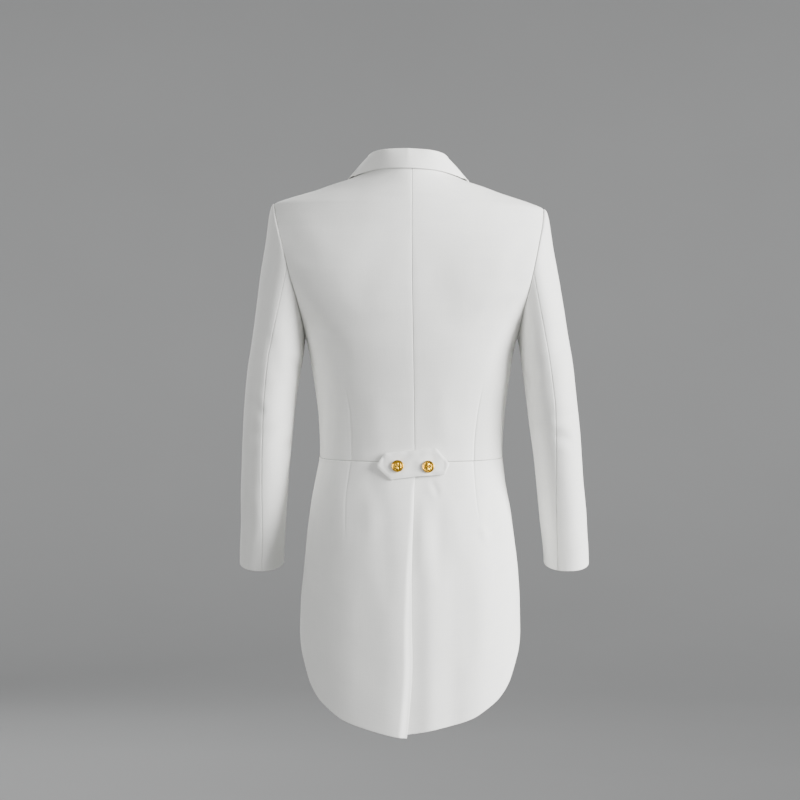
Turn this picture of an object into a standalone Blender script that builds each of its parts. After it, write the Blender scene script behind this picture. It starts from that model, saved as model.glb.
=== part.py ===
"""A tailcoat as it is cut and sewn, in metres, filled out as it is worn.

The origin is the middle of the neck's base. +Z is up, the front faces -Y, and the wearer's left is +X.
Each piece is an open grid of points on the coat's form, and Solidify turns it into a wall of cloth.
"""

import math

import bpy
import numpy as np
from mathutils import Vector

WALL = 0.0020  # suiting with what is fused and turned in at its back
LAPPED_WALL = 0.0016  # the outer layer where two lie on each other
SEAM = 0.0004  # between two pieces at a seam
SLEEVE_SEAM = 0.0006  # the same where a seam runs aslant to the sleeve
RIDGE_SEAM = 0.0009  # the same at a side or shoulder seam, which closes up inside
EDGE_SHARE = 0.030  # the narrow first and last strip of a piece, which squares a seam's edge
SLEEVE_EDGE_SHARE = 0.012  # the same on a sleeve

SHOULDER_Z = -0.0455  # where the shoulder seam meets the sleeve
SHOULDER_TOP_Z = -0.004  # the last level row of points below the neck
UNDERARM_Z = -0.262
WAIST_Z = -0.465  # the waist seam at the centre back
WAIST_RISE = 0.006  # how much higher it is at the sides
NECK_Z = 0.018  # the neck seam at the centre back
NECK_DROP = 0.008  # how much lower the neck seam is at the shoulder seam
FRONT_NECK_Z = 0.0045  # the top of the fronts
LEVEL_Z = -0.43  # rows below this bend with the hem of the fronts
HEM_SIDE_Z = -0.458
HEM_POINT_Z = -0.490
HEM_RISE_SHARE = 0.6  # the hem is level from this share of a front to its side
CAP_Z = -0.290  # the first level ring of a sleeve, just under the arm
CUFF_Z = -0.636
ELBOW_Z = -0.400
CUFF_TILT = 0.24  # the cuff stands square to a forearm that leans forward
TAIL_WRAP = math.radians(106)  # how far round from the centre back a tail reaches at the waist
TAIL_CORNER = math.radians(90)  # the same at the foot of its front edge
TAIL_SWEEP = 1.5  # how hollow the way between them is

LEAN = 0.0195  # radians: the left shoulder stands a little higher
LEAN_FROM_Z = -0.26
LEAN_FADE = 0.05

ARM_MIDDLE_Z = (SHOULDER_Z + UNDERARM_Z) / 2
ARM_HALF = (SHOULDER_Z - UNDERARM_Z) / 2

UNDERLAP = 0.028  # the right tail runs this far under the left one
LAP_LIFT = 0.0028  # the left tail stands this far off the right one, wall and all
LAP_FROM_X = 0.034
LAP_TO_X = 0.066
EDGE_FOLD = 0.0050  # beside the vent the left tail swells this far, then turns down to its edge
EDGE_FOLD_FROM = 0.003  # how far from its edge the swell is highest, at the waist
EDGE_FOLD_TO = 0.014  # and towards the foot
EDGE_FOLD_FADE = 0.028
EDGE_FOLD_TOP_Z = -0.47
EDGE_FOLD_FULL_Z = -0.80
RIGHT_TAIL_RISE = 0.0035  # the right tail ends a little higher

BUTTON_RADIUS = 0.0100
BUTTON_CLEAR = 0.0004
# Each button's x, and its place up the tab as a share of the tab's height.
BUTTON_SEATS = {"left": (0.0228, 0.47), "right": (-0.0262, 0.34)}
TAB_CLEAR = 0.0006
TAB_BLUNT = 0.0012  # its points are cut off by this much
TAB_FULL_HEIGHT = 0.030  # where it is this high it reaches up to the back
TAB_SLOPE_WIDTH = 0.050  # beside the vent the tab comes down to the right tail over this width
TAB_WALL = 0.0024

CLOTH = (0.86, 0.85, 0.82)
GOLD = (0.83, 0.62, 0.28)
SIDES = {"left": 1.0, "right": -1.0}
BACKWARD, FORWARD = (0.0, 1.0, 0.0), (0.0, -1.0, 0.0)


class Table:
    """Rows of sizes under named columns, read at any value of the first one along a smooth curve."""

    def __init__(self, columns, *rows):
        rows = np.array(sorted(rows), float)
        self.at = rows[:, 0]
        self.columns = dict(zip(columns.split(), rows.T))

    def __call__(self, column, at):
        known, value = self.at, self.columns[column]
        gaps = np.diff(known)
        rates = np.diff(value) / gaps
        slopes = np.concatenate([rates[:1], np.zeros(len(rates) - 1), rates[-1:]])
        same = rates[:-1] * rates[1:] > 0
        before, after = gaps[:-1][same], gaps[1:][same]
        first, second = 2 * after + before, after + 2 * before
        slopes[1:-1][same] = (first + second) / (first / rates[:-1][same] + second / rates[1:][same])
        at = np.clip(at, known[0], known[-1])
        row = np.clip(np.searchsorted(known, at) - 1, 0, len(gaps) - 1)
        share = (at - known[row]) / gaps[row]
        rise, gap = value[row + 1] - value[row], gaps[row]
        start, end = slopes[row] * gap, slopes[row + 1] * gap
        return value[row] + share * (
            start + share * (3 * rise - 2 * start - end + share * (start + end - 2 * rise))
        )


# Half of the width behind and in front, the y of the centre back, centre front and side, and how
# round the form is: 2 is an ellipse. Beside the arms it is wider than the coat, whose panels end
# at the armhole. Above them it narrows along the shoulder seam.
BODY = Table(
    "z back_side front_side back front middle back_round front_round",
    (0.018, 0.0660, 0.0660, 0.0620, -0.040, 0.002, 2.00, 2.00),
    (0.010, 0.0725, 0.0725, 0.0660, -0.046, 0.000, 1.90, 1.90),
    (0.004, 0.0820, 0.0820, 0.0690, -0.050, -0.001, 1.75, 1.75),
    (-0.003, 0.0980, 0.0980, 0.0725, -0.054, -0.002, 1.68, 1.68),
    (-0.0085, 0.1160, 0.1160, 0.0750, -0.057, -0.003, 1.64, 1.64),
    (-0.0143, 0.1330, 0.1330, 0.0775, -0.060, -0.004, 1.62, 1.62),
    (-0.0215, 0.1530, 0.1530, 0.0810, -0.063, -0.005, 1.62, 1.62),
    (-0.028, 0.1740, 0.1740, 0.0840, -0.066, -0.005, 1.62, 1.62),
    (-0.0345, 0.1950, 0.1950, 0.0865, -0.069, -0.006, 1.62, 1.62),
    (-0.0455, 0.2220, 0.2220, 0.0910, -0.074, -0.006, 1.63, 1.62),
    (-0.060, 0.2310, 0.2300, 0.0955, -0.081, -0.006, 1.72, 1.68),
    (-0.080, 0.2385, 0.2355, 0.1010, -0.090, -0.005, 1.85, 1.75),
    (-0.100, 0.2400, 0.2355, 0.1055, -0.099, -0.005, 2.08, 1.90),
    (-0.120, 0.2385, 0.2325, 0.1090, -0.106, -0.004, 2.27, 2.05),
    (-0.140, 0.2340, 0.2275, 0.1115, -0.112, -0.004, 2.42, 2.15),
    (-0.160, 0.2265, 0.2200, 0.1130, -0.117, -0.003, 2.52, 2.25),
    (-0.180, 0.2165, 0.2110, 0.1135, -0.121, -0.003, 2.56, 2.30),
    (-0.200, 0.2055, 0.2010, 0.1130, -0.124, -0.003, 2.6, 2.3),
    (-0.220, 0.1940, 0.1915, 0.1120, -0.126, -0.003, 2.55, 2.3),
    (-0.240, 0.1835, 0.1825, 0.1100, -0.127, -0.004, 2.5, 2.3),
    (-0.262, 0.1745, 0.1745, 0.1075, -0.127, -0.004, 2.5, 2.3),
    (-0.282, 0.1695, 0.1695, 0.1050, -0.126, -0.005, 2.45, 2.3),
    (-0.315, 0.1640, 0.1640, 0.0990, -0.123, -0.007, 2.4, 2.3),
    (-0.348, 0.1587, 0.1587, 0.0925, -0.119, -0.008, 2.35, 2.3),
    (-0.381, 0.1545, 0.1545, 0.0865, -0.115, -0.010, 2.3, 2.3),
    (-0.414, 0.1517, 0.1517, 0.0820, -0.111, -0.011, 2.3, 2.3),
    (-0.447, 0.1505, 0.1505, 0.0795, -0.108, -0.012, 2.3, 2.3),
    (-0.470, 0.1507, 0.1507, 0.0795, -0.107, -0.012, 2.3, 2.3),
    (-0.500, 0.1520, 0.1520, 0.0830, -0.107, -0.012, 2.3, 2.3),
)

# The armhole's distance from the middle of the coat.
ARMHOLE = Table(
    "z back front",
    (-0.0455, 0.2220, 0.2220),
    (-0.0675, 0.2190, 0.2150),
    (-0.098, 0.2125, 0.2030),
    (-0.1335, 0.2045, 0.1920),
    (-0.169, 0.1960, 0.1840),
    (-0.203, 0.1865, 0.1785),
    (-0.2445, 0.1775, 0.1750),
    (-0.262, 0.1745, 0.1745),
)

# The centre back seam wanders a little, as worn.
CENTRE = Table(
    "z x",
    (0.018, -0.0060),
    (-0.106, -0.0030),
    (-0.231, -0.0018),
    (-0.348, -0.0035),
    (-0.465, -0.0050),
)

# The inner edge of each front: the roll of the lapel, then the open edge below it.
FRONT_EDGE = Table(
    "z x",
    (0.010, 0.0690),
    (0.000, 0.0680),
    (-0.045, 0.0655),
    (-0.100, 0.0625),
    (-0.200, 0.0570),
    (-0.300, 0.0515),
    (-0.410, 0.0460),
    (-0.465, 0.0480),
    (-0.500, 0.0540),
)

# A sleeve's outer and inner side, the y of its middle, half of its depth, and how far outside its
# middle the back seam runs.
SLEEVE = Table(
    "z left_outer left_inner right_outer right_inner middle depth left_seam right_seam",
    (-0.290, 0.2665, 0.1780, 0.2632, 0.1793, 0.000, 0.0780, 0.0090, 0.0004),
    (-0.315, 0.2700, 0.1825, 0.2665, 0.1825, 0.001, 0.0755, 0.0080, 0.0008),
    (-0.365, 0.2750, 0.1906, 0.2718, 0.1895, 0.000, 0.0720, 0.0062, 0.0010),
    (-0.414, 0.2785, 0.1960, 0.2778, 0.1958, -0.006, 0.0690, 0.0045, -0.0020),
    (-0.464, 0.2807, 0.2012, 0.2822, 0.2029, -0.016, 0.0650, 0.0030, -0.0058),
    (-0.514, 0.2828, 0.2053, 0.2867, 0.2086, -0.028, 0.0600, 0.0012, -0.0095),
    (-0.565, 0.2836, 0.2089, 0.2911, 0.2143, -0.040, 0.0550, -0.0005, -0.0125),
    (-0.624, 0.2866, 0.2126, 0.2952, 0.2212, -0.054, 0.0505, -0.0022, -0.0148),
    (-0.650, 0.2872, 0.2134, 0.2962, 0.2222, -0.059, 0.0500, -0.0025, -0.0150),
)
SLEEVE_ROUND = 2.15
FRONT_SEAM_TURN = math.radians(-120)
SLEEVE_RADIUS = 0.055  # about, for the gap at its seams
BACK_SEAM_TURN = math.radians(90)  # where the back seam leaves the armhole
HEAD_FADE = 0.8  # how soon the sleeve head flattens down the front and back of the armhole

# How far the sleeve head stands out, by the share of the way from the armhole to the first ring.
SLEEVE_HEAD = Table(
    "share out",
    (0.000, 0.0000),
    (0.002, 0.0018),
    (0.012, 0.0036),
    (0.035, 0.0048),
    (0.080, 0.0053),
    (0.160, 0.0045),
    (0.300, 0.0035),
    (0.500, 0.0034),
    (0.700, 0.0022),
    (0.900, 0.0005),
    (1.000, 0.0000),
)

TAIL = Table(
    "z left right back middle",
    (-0.465, 0.1518, 0.1512, 0.0800, -0.012),
    (-0.497, 0.1585, 0.1548, 0.0865, -0.011),
    (-0.546, 0.1668, 0.1632, 0.1000, -0.009),
    (-0.596, 0.1728, 0.1695, 0.1120, -0.007),
    (-0.645, 0.1775, 0.1755, 0.1205, -0.004),
    (-0.695, 0.1822, 0.1782, 0.1260, -0.001),
    (-0.745, 0.1832, 0.1785, 0.1295, 0.002),
    (-0.920, 0.1830, 0.1785, 0.1365, 0.006),
)
TAIL_ROUND = 2.3
TAIL_FRONT = -0.105  # the y that a tail's form would reach at the centre front

# The foot of a tail, by how far round from the centre back it is.
TAIL_HEM = Table(
    "degrees z",
    (-4.0, -0.9060),
    (0.0, -0.9045),
    (18.6, -0.8915),
    (34.0, -0.8775),
    (43.3, -0.8630),
    (52.0, -0.8480),
    (58.0, -0.8340),
    (63.4, -0.8190),
    (67.6, -0.8045),
    (72.7, -0.7885),
    (79.4, -0.7700),
    (90.0, -0.7300),
)

# The left tail's edge at the vent.
VENT = Table(
    "z x",
    (-0.465, -0.0055),
    (-0.546, -0.0028),
    (-0.600, -0.0010),
    (-0.660, 0.0005),
    (-0.713, 0.0005),
    (-0.779, -0.0008),
    (-0.870, 0.0045),
    (-0.910, 0.0088),
)

# Soft upright folds of the tails: their x, the half width, the height, and where they start and
# are full.
FOLDS = (
    {"x": -0.028, "half": 0.016, "height": 0.0026, "from_z": -0.52, "full_z": -0.62},
    {"x": -0.066, "half": 0.018, "height": -0.0030, "from_z": -0.53, "full_z": -0.66},
    {"x": -0.112, "half": 0.022, "height": 0.0022, "from_z": -0.56, "full_z": -0.72},
    {"x": 0.052, "half": 0.020, "height": -0.0022, "from_z": -0.55, "full_z": -0.72},
    {"x": 0.098, "half": 0.024, "height": 0.0022, "from_z": -0.54, "full_z": -0.70},
)

# The collar round the neck, from the centre back to its front end: the fold, and the outer edge,
# which lies on the coat.
COLLAR = Table(
    "way fold_x fold_y fold_z edge_x edge_z",
    (0.00, 0.0000, 0.0560, 0.0445, 0.0000, 0.0118),
    (0.20, 0.0300, 0.0510, 0.0435, 0.0400, 0.0108),
    (0.42, 0.0545, 0.0290, 0.0400, 0.0770, 0.0054),
    (0.60, 0.0625, 0.0000, 0.0330, 0.0975, 0.0003),
    (0.76, 0.0622, -0.0330, 0.0120, 0.1050, -0.0120),
    (0.90, 0.0622, -0.0660, -0.0210, 0.1065, -0.0440),
    (1.00, 0.0630, -0.0830, -0.0550, 0.1040, -0.0752),
)
COLLAR_TURN = 0.60  # the way at which it crosses the shoulder
COLLAR_HEIGHT = 0.0027  # its edge is this much above the coat
COLLAR_OUT = 0.0022  # and this much outside
STAND_GAP = 0.0010
STAND_INSIDE = 0.0028  # the stand is this far inside the neck's edge
COLLAR_END_Z = -0.0560
COLLAR_FOLD = 0.0026  # the radius at its fold
# The share of the way over which, at the shoulder, the neck's edge, the collar's edge and its
# crest pass from the back to the front.
FOOT_CROSSING = 0.12
EDGE_CROSSING = 0.20
CREST_CROSSING = 0.30

# A lapel's width by how far up it is, and its top edge by how far out.
LAPEL_WIDTH = Table(
    "up width",
    (0.00, 0.006),
    (0.20, 0.036),
    (0.45, 0.066),
    (0.75, 0.086),
    (1.00, 0.098),
)
LAPEL_TOP = Table(
    "out z",
    (0.00, -0.0583),
    (0.42, -0.0788),
    (0.70, -0.0783),
    (1.00, -0.0618),
)
LAPEL_FOOT_Z = -0.405
LAPEL_LIFT = 0.0012  # between the lapel and the front under it
ROLL_OVER = 0.0010  # the roll covers the front's edge by this much
LAPEL_ROLL = 0.0030  # the roll stands off the front by this much more
ROLL_SHARE = 0.5  # and comes down to it over this share of the lapel

# The tab over the waist seam: its top and bottom edge.
TAB_TOP = Table(
    "x z",
    (-0.0615, -0.4675),
    (-0.0400, -0.4427),
    (0.0440, -0.4502),
    (0.0578, -0.4717),
)
TAB_FOOT = Table(
    "x z",
    (-0.0615, -0.4675),
    (-0.0535, -0.4863),
    (-0.0065, -0.4890),
    (0.0343, -0.4947),
    (0.0578, -0.4717),
)


def smooth_step(value):
    """0 below 0 and 1 above 1, with a soft way between them."""
    value = np.clip(value, 0.0, 1.0)
    return value * value * (3.0 - 2.0 * value)


def columns(count, strip=EDGE_SHARE):
    """Even shares across a piece, with a narrow strip more at each edge."""
    inner = np.linspace(0.0, 1.0, count + 1)[1:-1]
    return np.concatenate([[0.0, strip], inner, [1.0 - strip, 1.0]])


def stack(x, y, z):
    return np.stack(np.broadcast_arrays(x, y, z), axis=-1)


def lean(points):
    """Tips the coat above the underarm a little to the right."""
    height = points[..., 2] - LEAN_FROM_Z
    share = LEAN * smooth_step((height + LEAN_FADE) / (3 * LEAN_FADE))
    moved = points.copy()
    moved[..., 0] += share * np.maximum(height, 0.0)
    moved[..., 2] += share * points[..., 0]
    return moved


def half_form(face, z):
    """The half width, the depth and the roundness of the coat's form at a height."""
    depth = np.abs(BODY(face, z) - BODY("middle", z))
    return BODY(face + "_side", z), depth, BODY(face + "_round", z)


def turn_of(face, x, z):
    """The turn from the centre at which the form is x wide."""
    width, _, roundness = half_form(face, z)
    return np.sign(x) * np.arcsin(np.minimum(np.abs(x) / width, 1.0) ** (roundness / 2))


def edge_turn(face, z):
    """The turn at which a panel ends at a height: the armhole, or else the side or shoulder seam."""
    beside_arm = (z < SHOULDER_Z) & (z > UNDERARM_Z)
    return np.where(beside_arm, turn_of(face, ARMHOLE(face, z), z), math.pi / 2)


def on_form(face, turn, z):
    """Points of the coat's form above the waist, before it leans."""
    width, depth, roundness = half_form(face, z)
    sine, cosine = np.sin(turn), np.maximum(np.cos(turn), 0.0)
    x = width * np.sign(sine) * np.abs(sine) ** (2 / roundness)
    reach = np.maximum(depth * cosine ** (2 / roundness), RIDGE_SEAM / 2)
    return stack(x, BODY("middle", z) + (reach if face == "back" else -reach), z)


def armhole(turn, side):
    """A point of the armhole, with the turn 0 at its top, positive behind, negative in front."""
    z = ARM_MIDDLE_Z + ARM_HALF * np.cos(turn)
    back = on_form("back", edge_turn("back", z), z)
    front = on_form("front", edge_turn("front", z), z)
    points = np.where((np.sin(turn) >= 0)[..., None], back, front)
    points[..., 0] *= side
    return lean(points)


def waist_rise(turn):
    """How much higher the waist seam is at a turn than at the centre back."""
    return WAIST_RISE * np.clip(turn / (math.pi / 2), 0.0, 1.0) ** 2


def levels_beside_arm(count):
    """Heights up the armhole that are evenly spaced round it."""
    turns = np.linspace(math.pi, 0.0, count + 1)
    return ARM_MIDDLE_Z + ARM_HALF * np.cos(turns)


def back_grid(side, across=12, below=8, beside=12, above=4):
    """A back panel from the waist seam to the neck seam, and from the centre seam to its outer edge."""
    share = columns(across)[None, :]
    levels = np.concatenate(
        [
            np.linspace(WAIST_Z + SEAM / 2, UNDERARM_Z, below + 1)[:-1],
            levels_beside_arm(beside)[:-1],
            np.linspace(SHOULDER_Z, SHOULDER_TOP_Z, above + 1),
        ]
    )[:, None]
    foot_first = turn_of("back", side * CENTRE("x", WAIST_Z) + SEAM / 2, WAIST_Z)
    rise = waist_rise(foot_first + (math.pi / 2 - foot_first) * share)
    rows = levels + rise * np.clip((UNDERARM_Z - levels) / (UNDERARM_Z - WAIST_Z), 0.0, 1.0)
    top = NECK_Z - NECK_DROP * share**2
    z = np.concatenate([rows, (levels[-1] + top) / 2, top])
    first = turn_of("back", side * CENTRE("x", z) + SEAM / 2, z)
    turn = first + (edge_turn("back", z) - first) * share
    points = on_form("back", turn, z)
    points[..., 0] *= side
    return lean(points)


def front_grid(side, across=9, below=6, beside=12, above=4):
    """A front from its hem to the neck, and from its open edge to its outer edge."""
    share = columns(across)[None, :]
    hem = HEM_POINT_Z + (HEM_SIDE_Z - HEM_POINT_Z) * smooth_step(share / HEM_RISE_SHARE)
    foot = hem + (LEVEL_Z - hem) * np.linspace(0.0, 1.0, 3)[:, None]
    levels = np.concatenate(
        [
            np.linspace(LEVEL_Z, UNDERARM_Z, below + 1)[1:-1],
            levels_beside_arm(beside)[:-1],
            np.linspace(SHOULDER_Z, SHOULDER_TOP_Z, above + 1),
            [FRONT_NECK_Z],
        ]
    )[:, None]
    z = np.concatenate([foot, np.broadcast_to(levels, (len(levels), share.size))])
    first = turn_of("front", FRONT_EDGE("x", z), z)
    turn = first + (edge_turn("front", z) - first) * share
    points = on_form("front", turn, z)
    points[..., 0] *= side
    return lean(points)


def lifted(points, height, outward):
    """A grid of points moved out along its own normals, for what lies on a panel."""
    normal = np.cross(np.gradient(points, axis=1), np.gradient(points, axis=0))
    normal /= np.linalg.norm(normal, axis=-1, keepdims=True)
    normal *= np.sign(normal @ np.array(outward))[..., None]
    return points + normal * np.asarray(height)[..., None]


def sleeve_ring(name, turn, z):
    """A ring of a sleeve, with the turn 0 outside, positive towards the back."""
    side = SIDES[name]
    outer, inner = SLEEVE(name + "_outer", z), SLEEVE(name + "_inner", z)
    power = 2 / SLEEVE_ROUND
    cosine, sine = np.cos(turn), np.sin(turn)
    x = (outer + inner) / 2 + (outer - inner) / 2 * np.sign(cosine) * np.abs(cosine) ** power
    reach = SLEEVE("depth", z) * np.sign(sine) * np.abs(sine) ** power
    tilt = CUFF_TILT * smooth_step((ELBOW_Z - z) / (ELBOW_Z - CUFF_Z))
    return stack(side * x, SLEEVE("middle", z) + reach, z - tilt * reach)


def seam_turn(name, z):
    """Where a sleeve's back seam lies on a ring."""
    half = (SLEEVE(name + "_outer", z) - SLEEVE(name + "_inner", z)) / 2
    return np.arccos(SLEEVE(name + "_seam", z) / half)


def sleeve_grid(name, upper, across, shares, below=10):
    """The upper or the under sleeve, from the armhole to the cuff."""
    side = SIDES[name]
    z = np.linspace(CAP_Z, CUFF_Z, below + 1)
    at_cap = seam_turn(name, CAP_Z)
    back = np.concatenate([BACK_SEAM_TURN + (at_cap - BACK_SEAM_TURN) * shares, seam_turn(name, z)])
    front = np.full(back.shape, FRONT_SEAM_TURN)
    first, last = (front, back) if upper else (back, front + 2 * math.pi)
    inset = SLEEVE_SEAM / 2 / SLEEVE_RADIUS
    first, last = first + inset, last - inset
    turn = first[:, None] + (last - first)[:, None] * columns(across, SLEEVE_EDGE_SHARE)[None, :]
    cap, arm = turn[: len(shares)], turn[len(shares) :]
    start = armhole(cap, side)
    start[..., 0] += side * SEAM
    end = sleeve_ring(name, cap, np.full(cap.shape, CAP_Z))
    way = shares[:, None, None]
    head = SLEEVE_HEAD("out", shares)[:, None] * np.cos(cap).clip(0.0) ** HEAD_FADE
    bulge = stack(side * np.cos(cap) * head, np.sin(cap) * head, 0.0 * head)
    head_rows = start + (end - start) * way + bulge
    return np.concatenate([head_rows, sleeve_ring(name, arm, z[:, None] + 0 * arm)])


def tail_form(name, turn, z):
    """Points of a tail's form, with the turn 0 at the centre back."""
    roundness = 2 / TAIL_ROUND
    sine, cosine = np.sin(turn), np.cos(turn)
    x = TAIL(name, z) * np.sign(sine) * np.abs(sine) ** roundness
    middle = TAIL("middle", z)
    depth = np.where(cosine >= 0, TAIL("back", z) - middle, middle - TAIL_FRONT)
    y = middle + depth * np.sign(cosine) * np.abs(cosine) ** roundness
    x = SIDES[name] * x
    for fold in FOLDS:
        grown = smooth_step((z - fold["from_z"]) / (fold["full_z"] - fold["from_z"]))
        shape = np.exp(-(((x - fold["x"]) / fold["half"]) ** 2))
        y = y + fold["height"] * grown * shape * (cosine > 0)
    return stack(x, y, z)


def tail_turn(name, x, z):
    """The turn at which a tail's form is x wide."""
    return np.sign(x) * np.arcsin((np.abs(x) / TAIL(name, z)) ** (TAIL_ROUND / 2))


def tail_grid(name, across=15, down=16):
    """A tail from the waist seam to its foot, and from the vent to its front edge."""
    side = SIDES[name]
    share = columns(across)[None, :]
    way = np.linspace(0.0, 1.0, down + 1)[:, None]
    wrap = TAIL_WRAP + (TAIL_CORNER - TAIL_WRAP) * way**TAIL_SWEEP
    foot = TAIL_HEM("z", np.degrees(share * TAIL_CORNER))
    foot = foot + (RIGHT_TAIL_RISE * (1 - share) if name == "right" else 0.0)
    top_first = tail_turn(name, VENT("x", WAIST_Z) if name == "left" else -UNDERLAP, WAIST_Z)
    top = WAIST_Z - SEAM / 2 + waist_rise(top_first + (TAIL_WRAP - top_first) * share)
    z = top + (foot - top) * way
    vent = VENT("x", z) if name == "left" else np.full(z.shape, -UNDERLAP)
    first = tail_turn(name, vent, z)
    points = tail_form(name, first + (wrap - first) * share, z)
    if name == "left":
        x = side * points[..., 0]
        lap = LAP_LIFT * smooth_step((LAP_TO_X - x) / (LAP_TO_X - LAP_FROM_X))
        grown = smooth_step((z - EDGE_FOLD_TOP_Z) / (EDGE_FOLD_FULL_Z - EDGE_FOLD_TOP_Z))
        ridge = EDGE_FOLD_FROM + (EDGE_FOLD_TO - EDGE_FOLD_FROM) * grown
        beyond = smooth_step(1.0 - (x - vent - ridge) / EDGE_FOLD_FADE)
        swell = EDGE_FOLD * grown * smooth_step((x - vent) / ridge) * beyond
        points[..., 1] += lap * (points[..., 1] > 0) + swell
    return points


def crossing(way, width):
    """0 on the collar's back part and 1 on its front part, with a soft way over the shoulder."""
    return smooth_step((way - COLLAR_TURN) / width + 0.5)


def neck_edge(way):
    """The coat's neck edge from the centre back (0) to the collar's front end (1), on the left."""
    back_way = np.clip(way / COLLAR_TURN, 0.0, 1.0)
    back = on_form("back", back_way * math.pi / 2, NECK_Z - NECK_DROP * back_way**2)
    front_way = np.clip((way - COLLAR_TURN) / (1 - COLLAR_TURN), 0.0, 1.0)
    z = FRONT_NECK_Z + (COLLAR_END_Z - FRONT_NECK_Z) * front_way
    front = on_form("front", turn_of("front", FRONT_EDGE("x", z), z), z)
    return back + (front - back) * crossing(way, FOOT_CROSSING)[..., None]


def collar_edge(way):
    """The collar's outer edge, a little above and outside the coat, on the left."""
    x, z = COLLAR("edge_x", way), COLLAR("edge_z", way)
    under = z - COLLAR_HEIGHT
    ends = []
    for face, out in (("back", COLLAR_OUT), ("front", -COLLAR_OUT)):
        y = on_form(face, turn_of(face, x, under), under)[..., 1]
        ends.append(y + out * np.minimum(2 * np.abs(way - COLLAR_TURN) / EDGE_CROSSING, 1.0))
    return stack(x, np.where(way < COLLAR_TURN, *ends), z)


def collar_grid(along=28, up=3, down=4):
    """The collar as one folded piece: up the stand, over the fold and down the fall."""
    ways = np.linspace(-1.0, 1.0, along + 1)
    way, side = np.abs(ways), np.where(ways < 0, 1.0, -1.0)
    edge = collar_edge(way)
    fold = stack(*(COLLAR("fold_" + axis, way) for axis in "xyz"))
    foot = neck_edge(way)
    front = crossing(way, CREST_CROSSING)[:, None]
    inward = -foot * np.array([1.0, 1.0, 0.0])
    inward[:, 1:2] *= 1 - front
    inward /= np.linalg.norm(inward, axis=-1, keepdims=True)
    foot = foot + inward * STAND_INSIDE + np.array([0.0, 0.0, STAND_GAP])
    crest = np.concatenate([0 * front, -front, 1 - front], axis=1)
    crest = COLLAR_FOLD * crest / np.linalg.norm(crest, axis=-1, keepdims=True)
    across = -COLLAR_FOLD * inward
    rise = fold - crest
    rows = [foot + (rise - foot) * share for share in np.linspace(0.0, 1.0, up + 1)]
    for turn in (math.pi / 3, 2 * math.pi / 3):
        rows.append(rise + across * (1 - math.cos(turn)) + crest * math.sin(turn))
    start = rise + 2 * across
    for share in np.linspace(0.0, 1.0, down + 1):
        rows.append(start + (edge - start) * share + crest * math.sin(math.pi * share))
    points = np.stack(rows)
    points[..., 0] *= side
    return lean(points)


def lapel_grid(side, across=5, up=14):
    """A lapel that lies on the front, from the roll to its outer edge."""
    out = columns(across)[None, :]
    way = np.linspace(0.0, 1.0, up + 1)[:, None]
    z = LAPEL_FOOT_Z + (LAPEL_TOP("z", out) - LAPEL_FOOT_Z) * way
    x = FRONT_EDGE("x", z) - ROLL_OVER + out * LAPEL_WIDTH("width", way)
    points = on_form("front", turn_of("front", x, z), z)
    lift = LAPEL_LIFT + LAPPED_WALL + LAPEL_ROLL * (1 - smooth_step(out / ROLL_SHARE))
    points = lifted(points, lift + 0 * z, FORWARD)
    points[..., 0] *= side
    return lean(points)


def tab_point(x, share):
    """A point of the tab's outer face, from its foot (0) to its top (1)."""
    top = np.interp(x, TAB_TOP.at, TAB_TOP.columns["z"])
    foot = np.interp(x, TAB_FOOT.at, TAB_FOOT.columns["z"])
    above = on_form("back", turn_of("back", x, top), top)[..., 1]
    below = tail_form("left", tail_turn("left", x, foot), foot)[..., 1]
    below = below + LAP_LIFT * smooth_step(1.0 + (x - VENT("x", WAIST_Z)) / TAB_SLOPE_WIDTH)
    spread = np.minimum((top - foot) / TAB_FULL_HEIGHT, 1.0)
    y = below + (above - below) * share * spread + TAB_CLEAR + TAB_WALL
    return stack(x, y, foot + (top - foot) * share)


def tab_grid(along=12, up=4):
    """The tab over the waist seam, stiff enough to span from the back to the tails."""
    ends = TAB_TOP.at[0] + TAB_BLUNT, TAB_TOP.at[-1] - TAB_BLUNT
    return tab_point(np.linspace(*ends, along + 1)[None, :], np.linspace(0.0, 1.0, up + 1)[:, None])


def material(name, colour, roughness, metallic=0.0):
    """A plain Principled material."""
    made = bpy.data.materials.new(name)
    made.use_nodes = True
    shader = made.node_tree.nodes["Principled BSDF"]
    shader.inputs["Base Color"].default_value = (*colour, 1.0)
    shader.inputs["Roughness"].default_value = roughness
    shader.inputs["Metallic"].default_value = metallic
    return made


def cloth(name, points, outward, wall=WALL, colour=CLOTH):
    """One piece of cloth from a grid of points, with its wall inside them."""
    rows, across = points.shape[:2]
    index = np.arange(rows * across).reshape(rows, across)
    corners = index[:-1, :-1], index[:-1, 1:], index[1:, 1:], index[1:, :-1]
    faces = np.stack(corners, axis=-1).reshape(-1, 4)
    middle = points[rows // 2, across // 2]
    along = points[rows // 2, across // 2 + 1] - middle
    upward = points[rows // 2 + 1, across // 2] - middle
    if np.dot(np.cross(along, upward), outward) < 0:
        faces = faces[:, ::-1]
    mesh = bpy.data.meshes.new(name)
    mesh.from_pydata(points.reshape(-1, 3).tolist(), [], faces.tolist())
    mesh.materials.append(material(name, colour, 0.75))
    piece = bpy.data.objects.new(name, mesh)
    parts.objects.link(piece)
    solid = piece.modifiers.new("wall", "SOLIDIFY")
    solid.thickness = wall
    solid.offset = -1.0
    return piece


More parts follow.
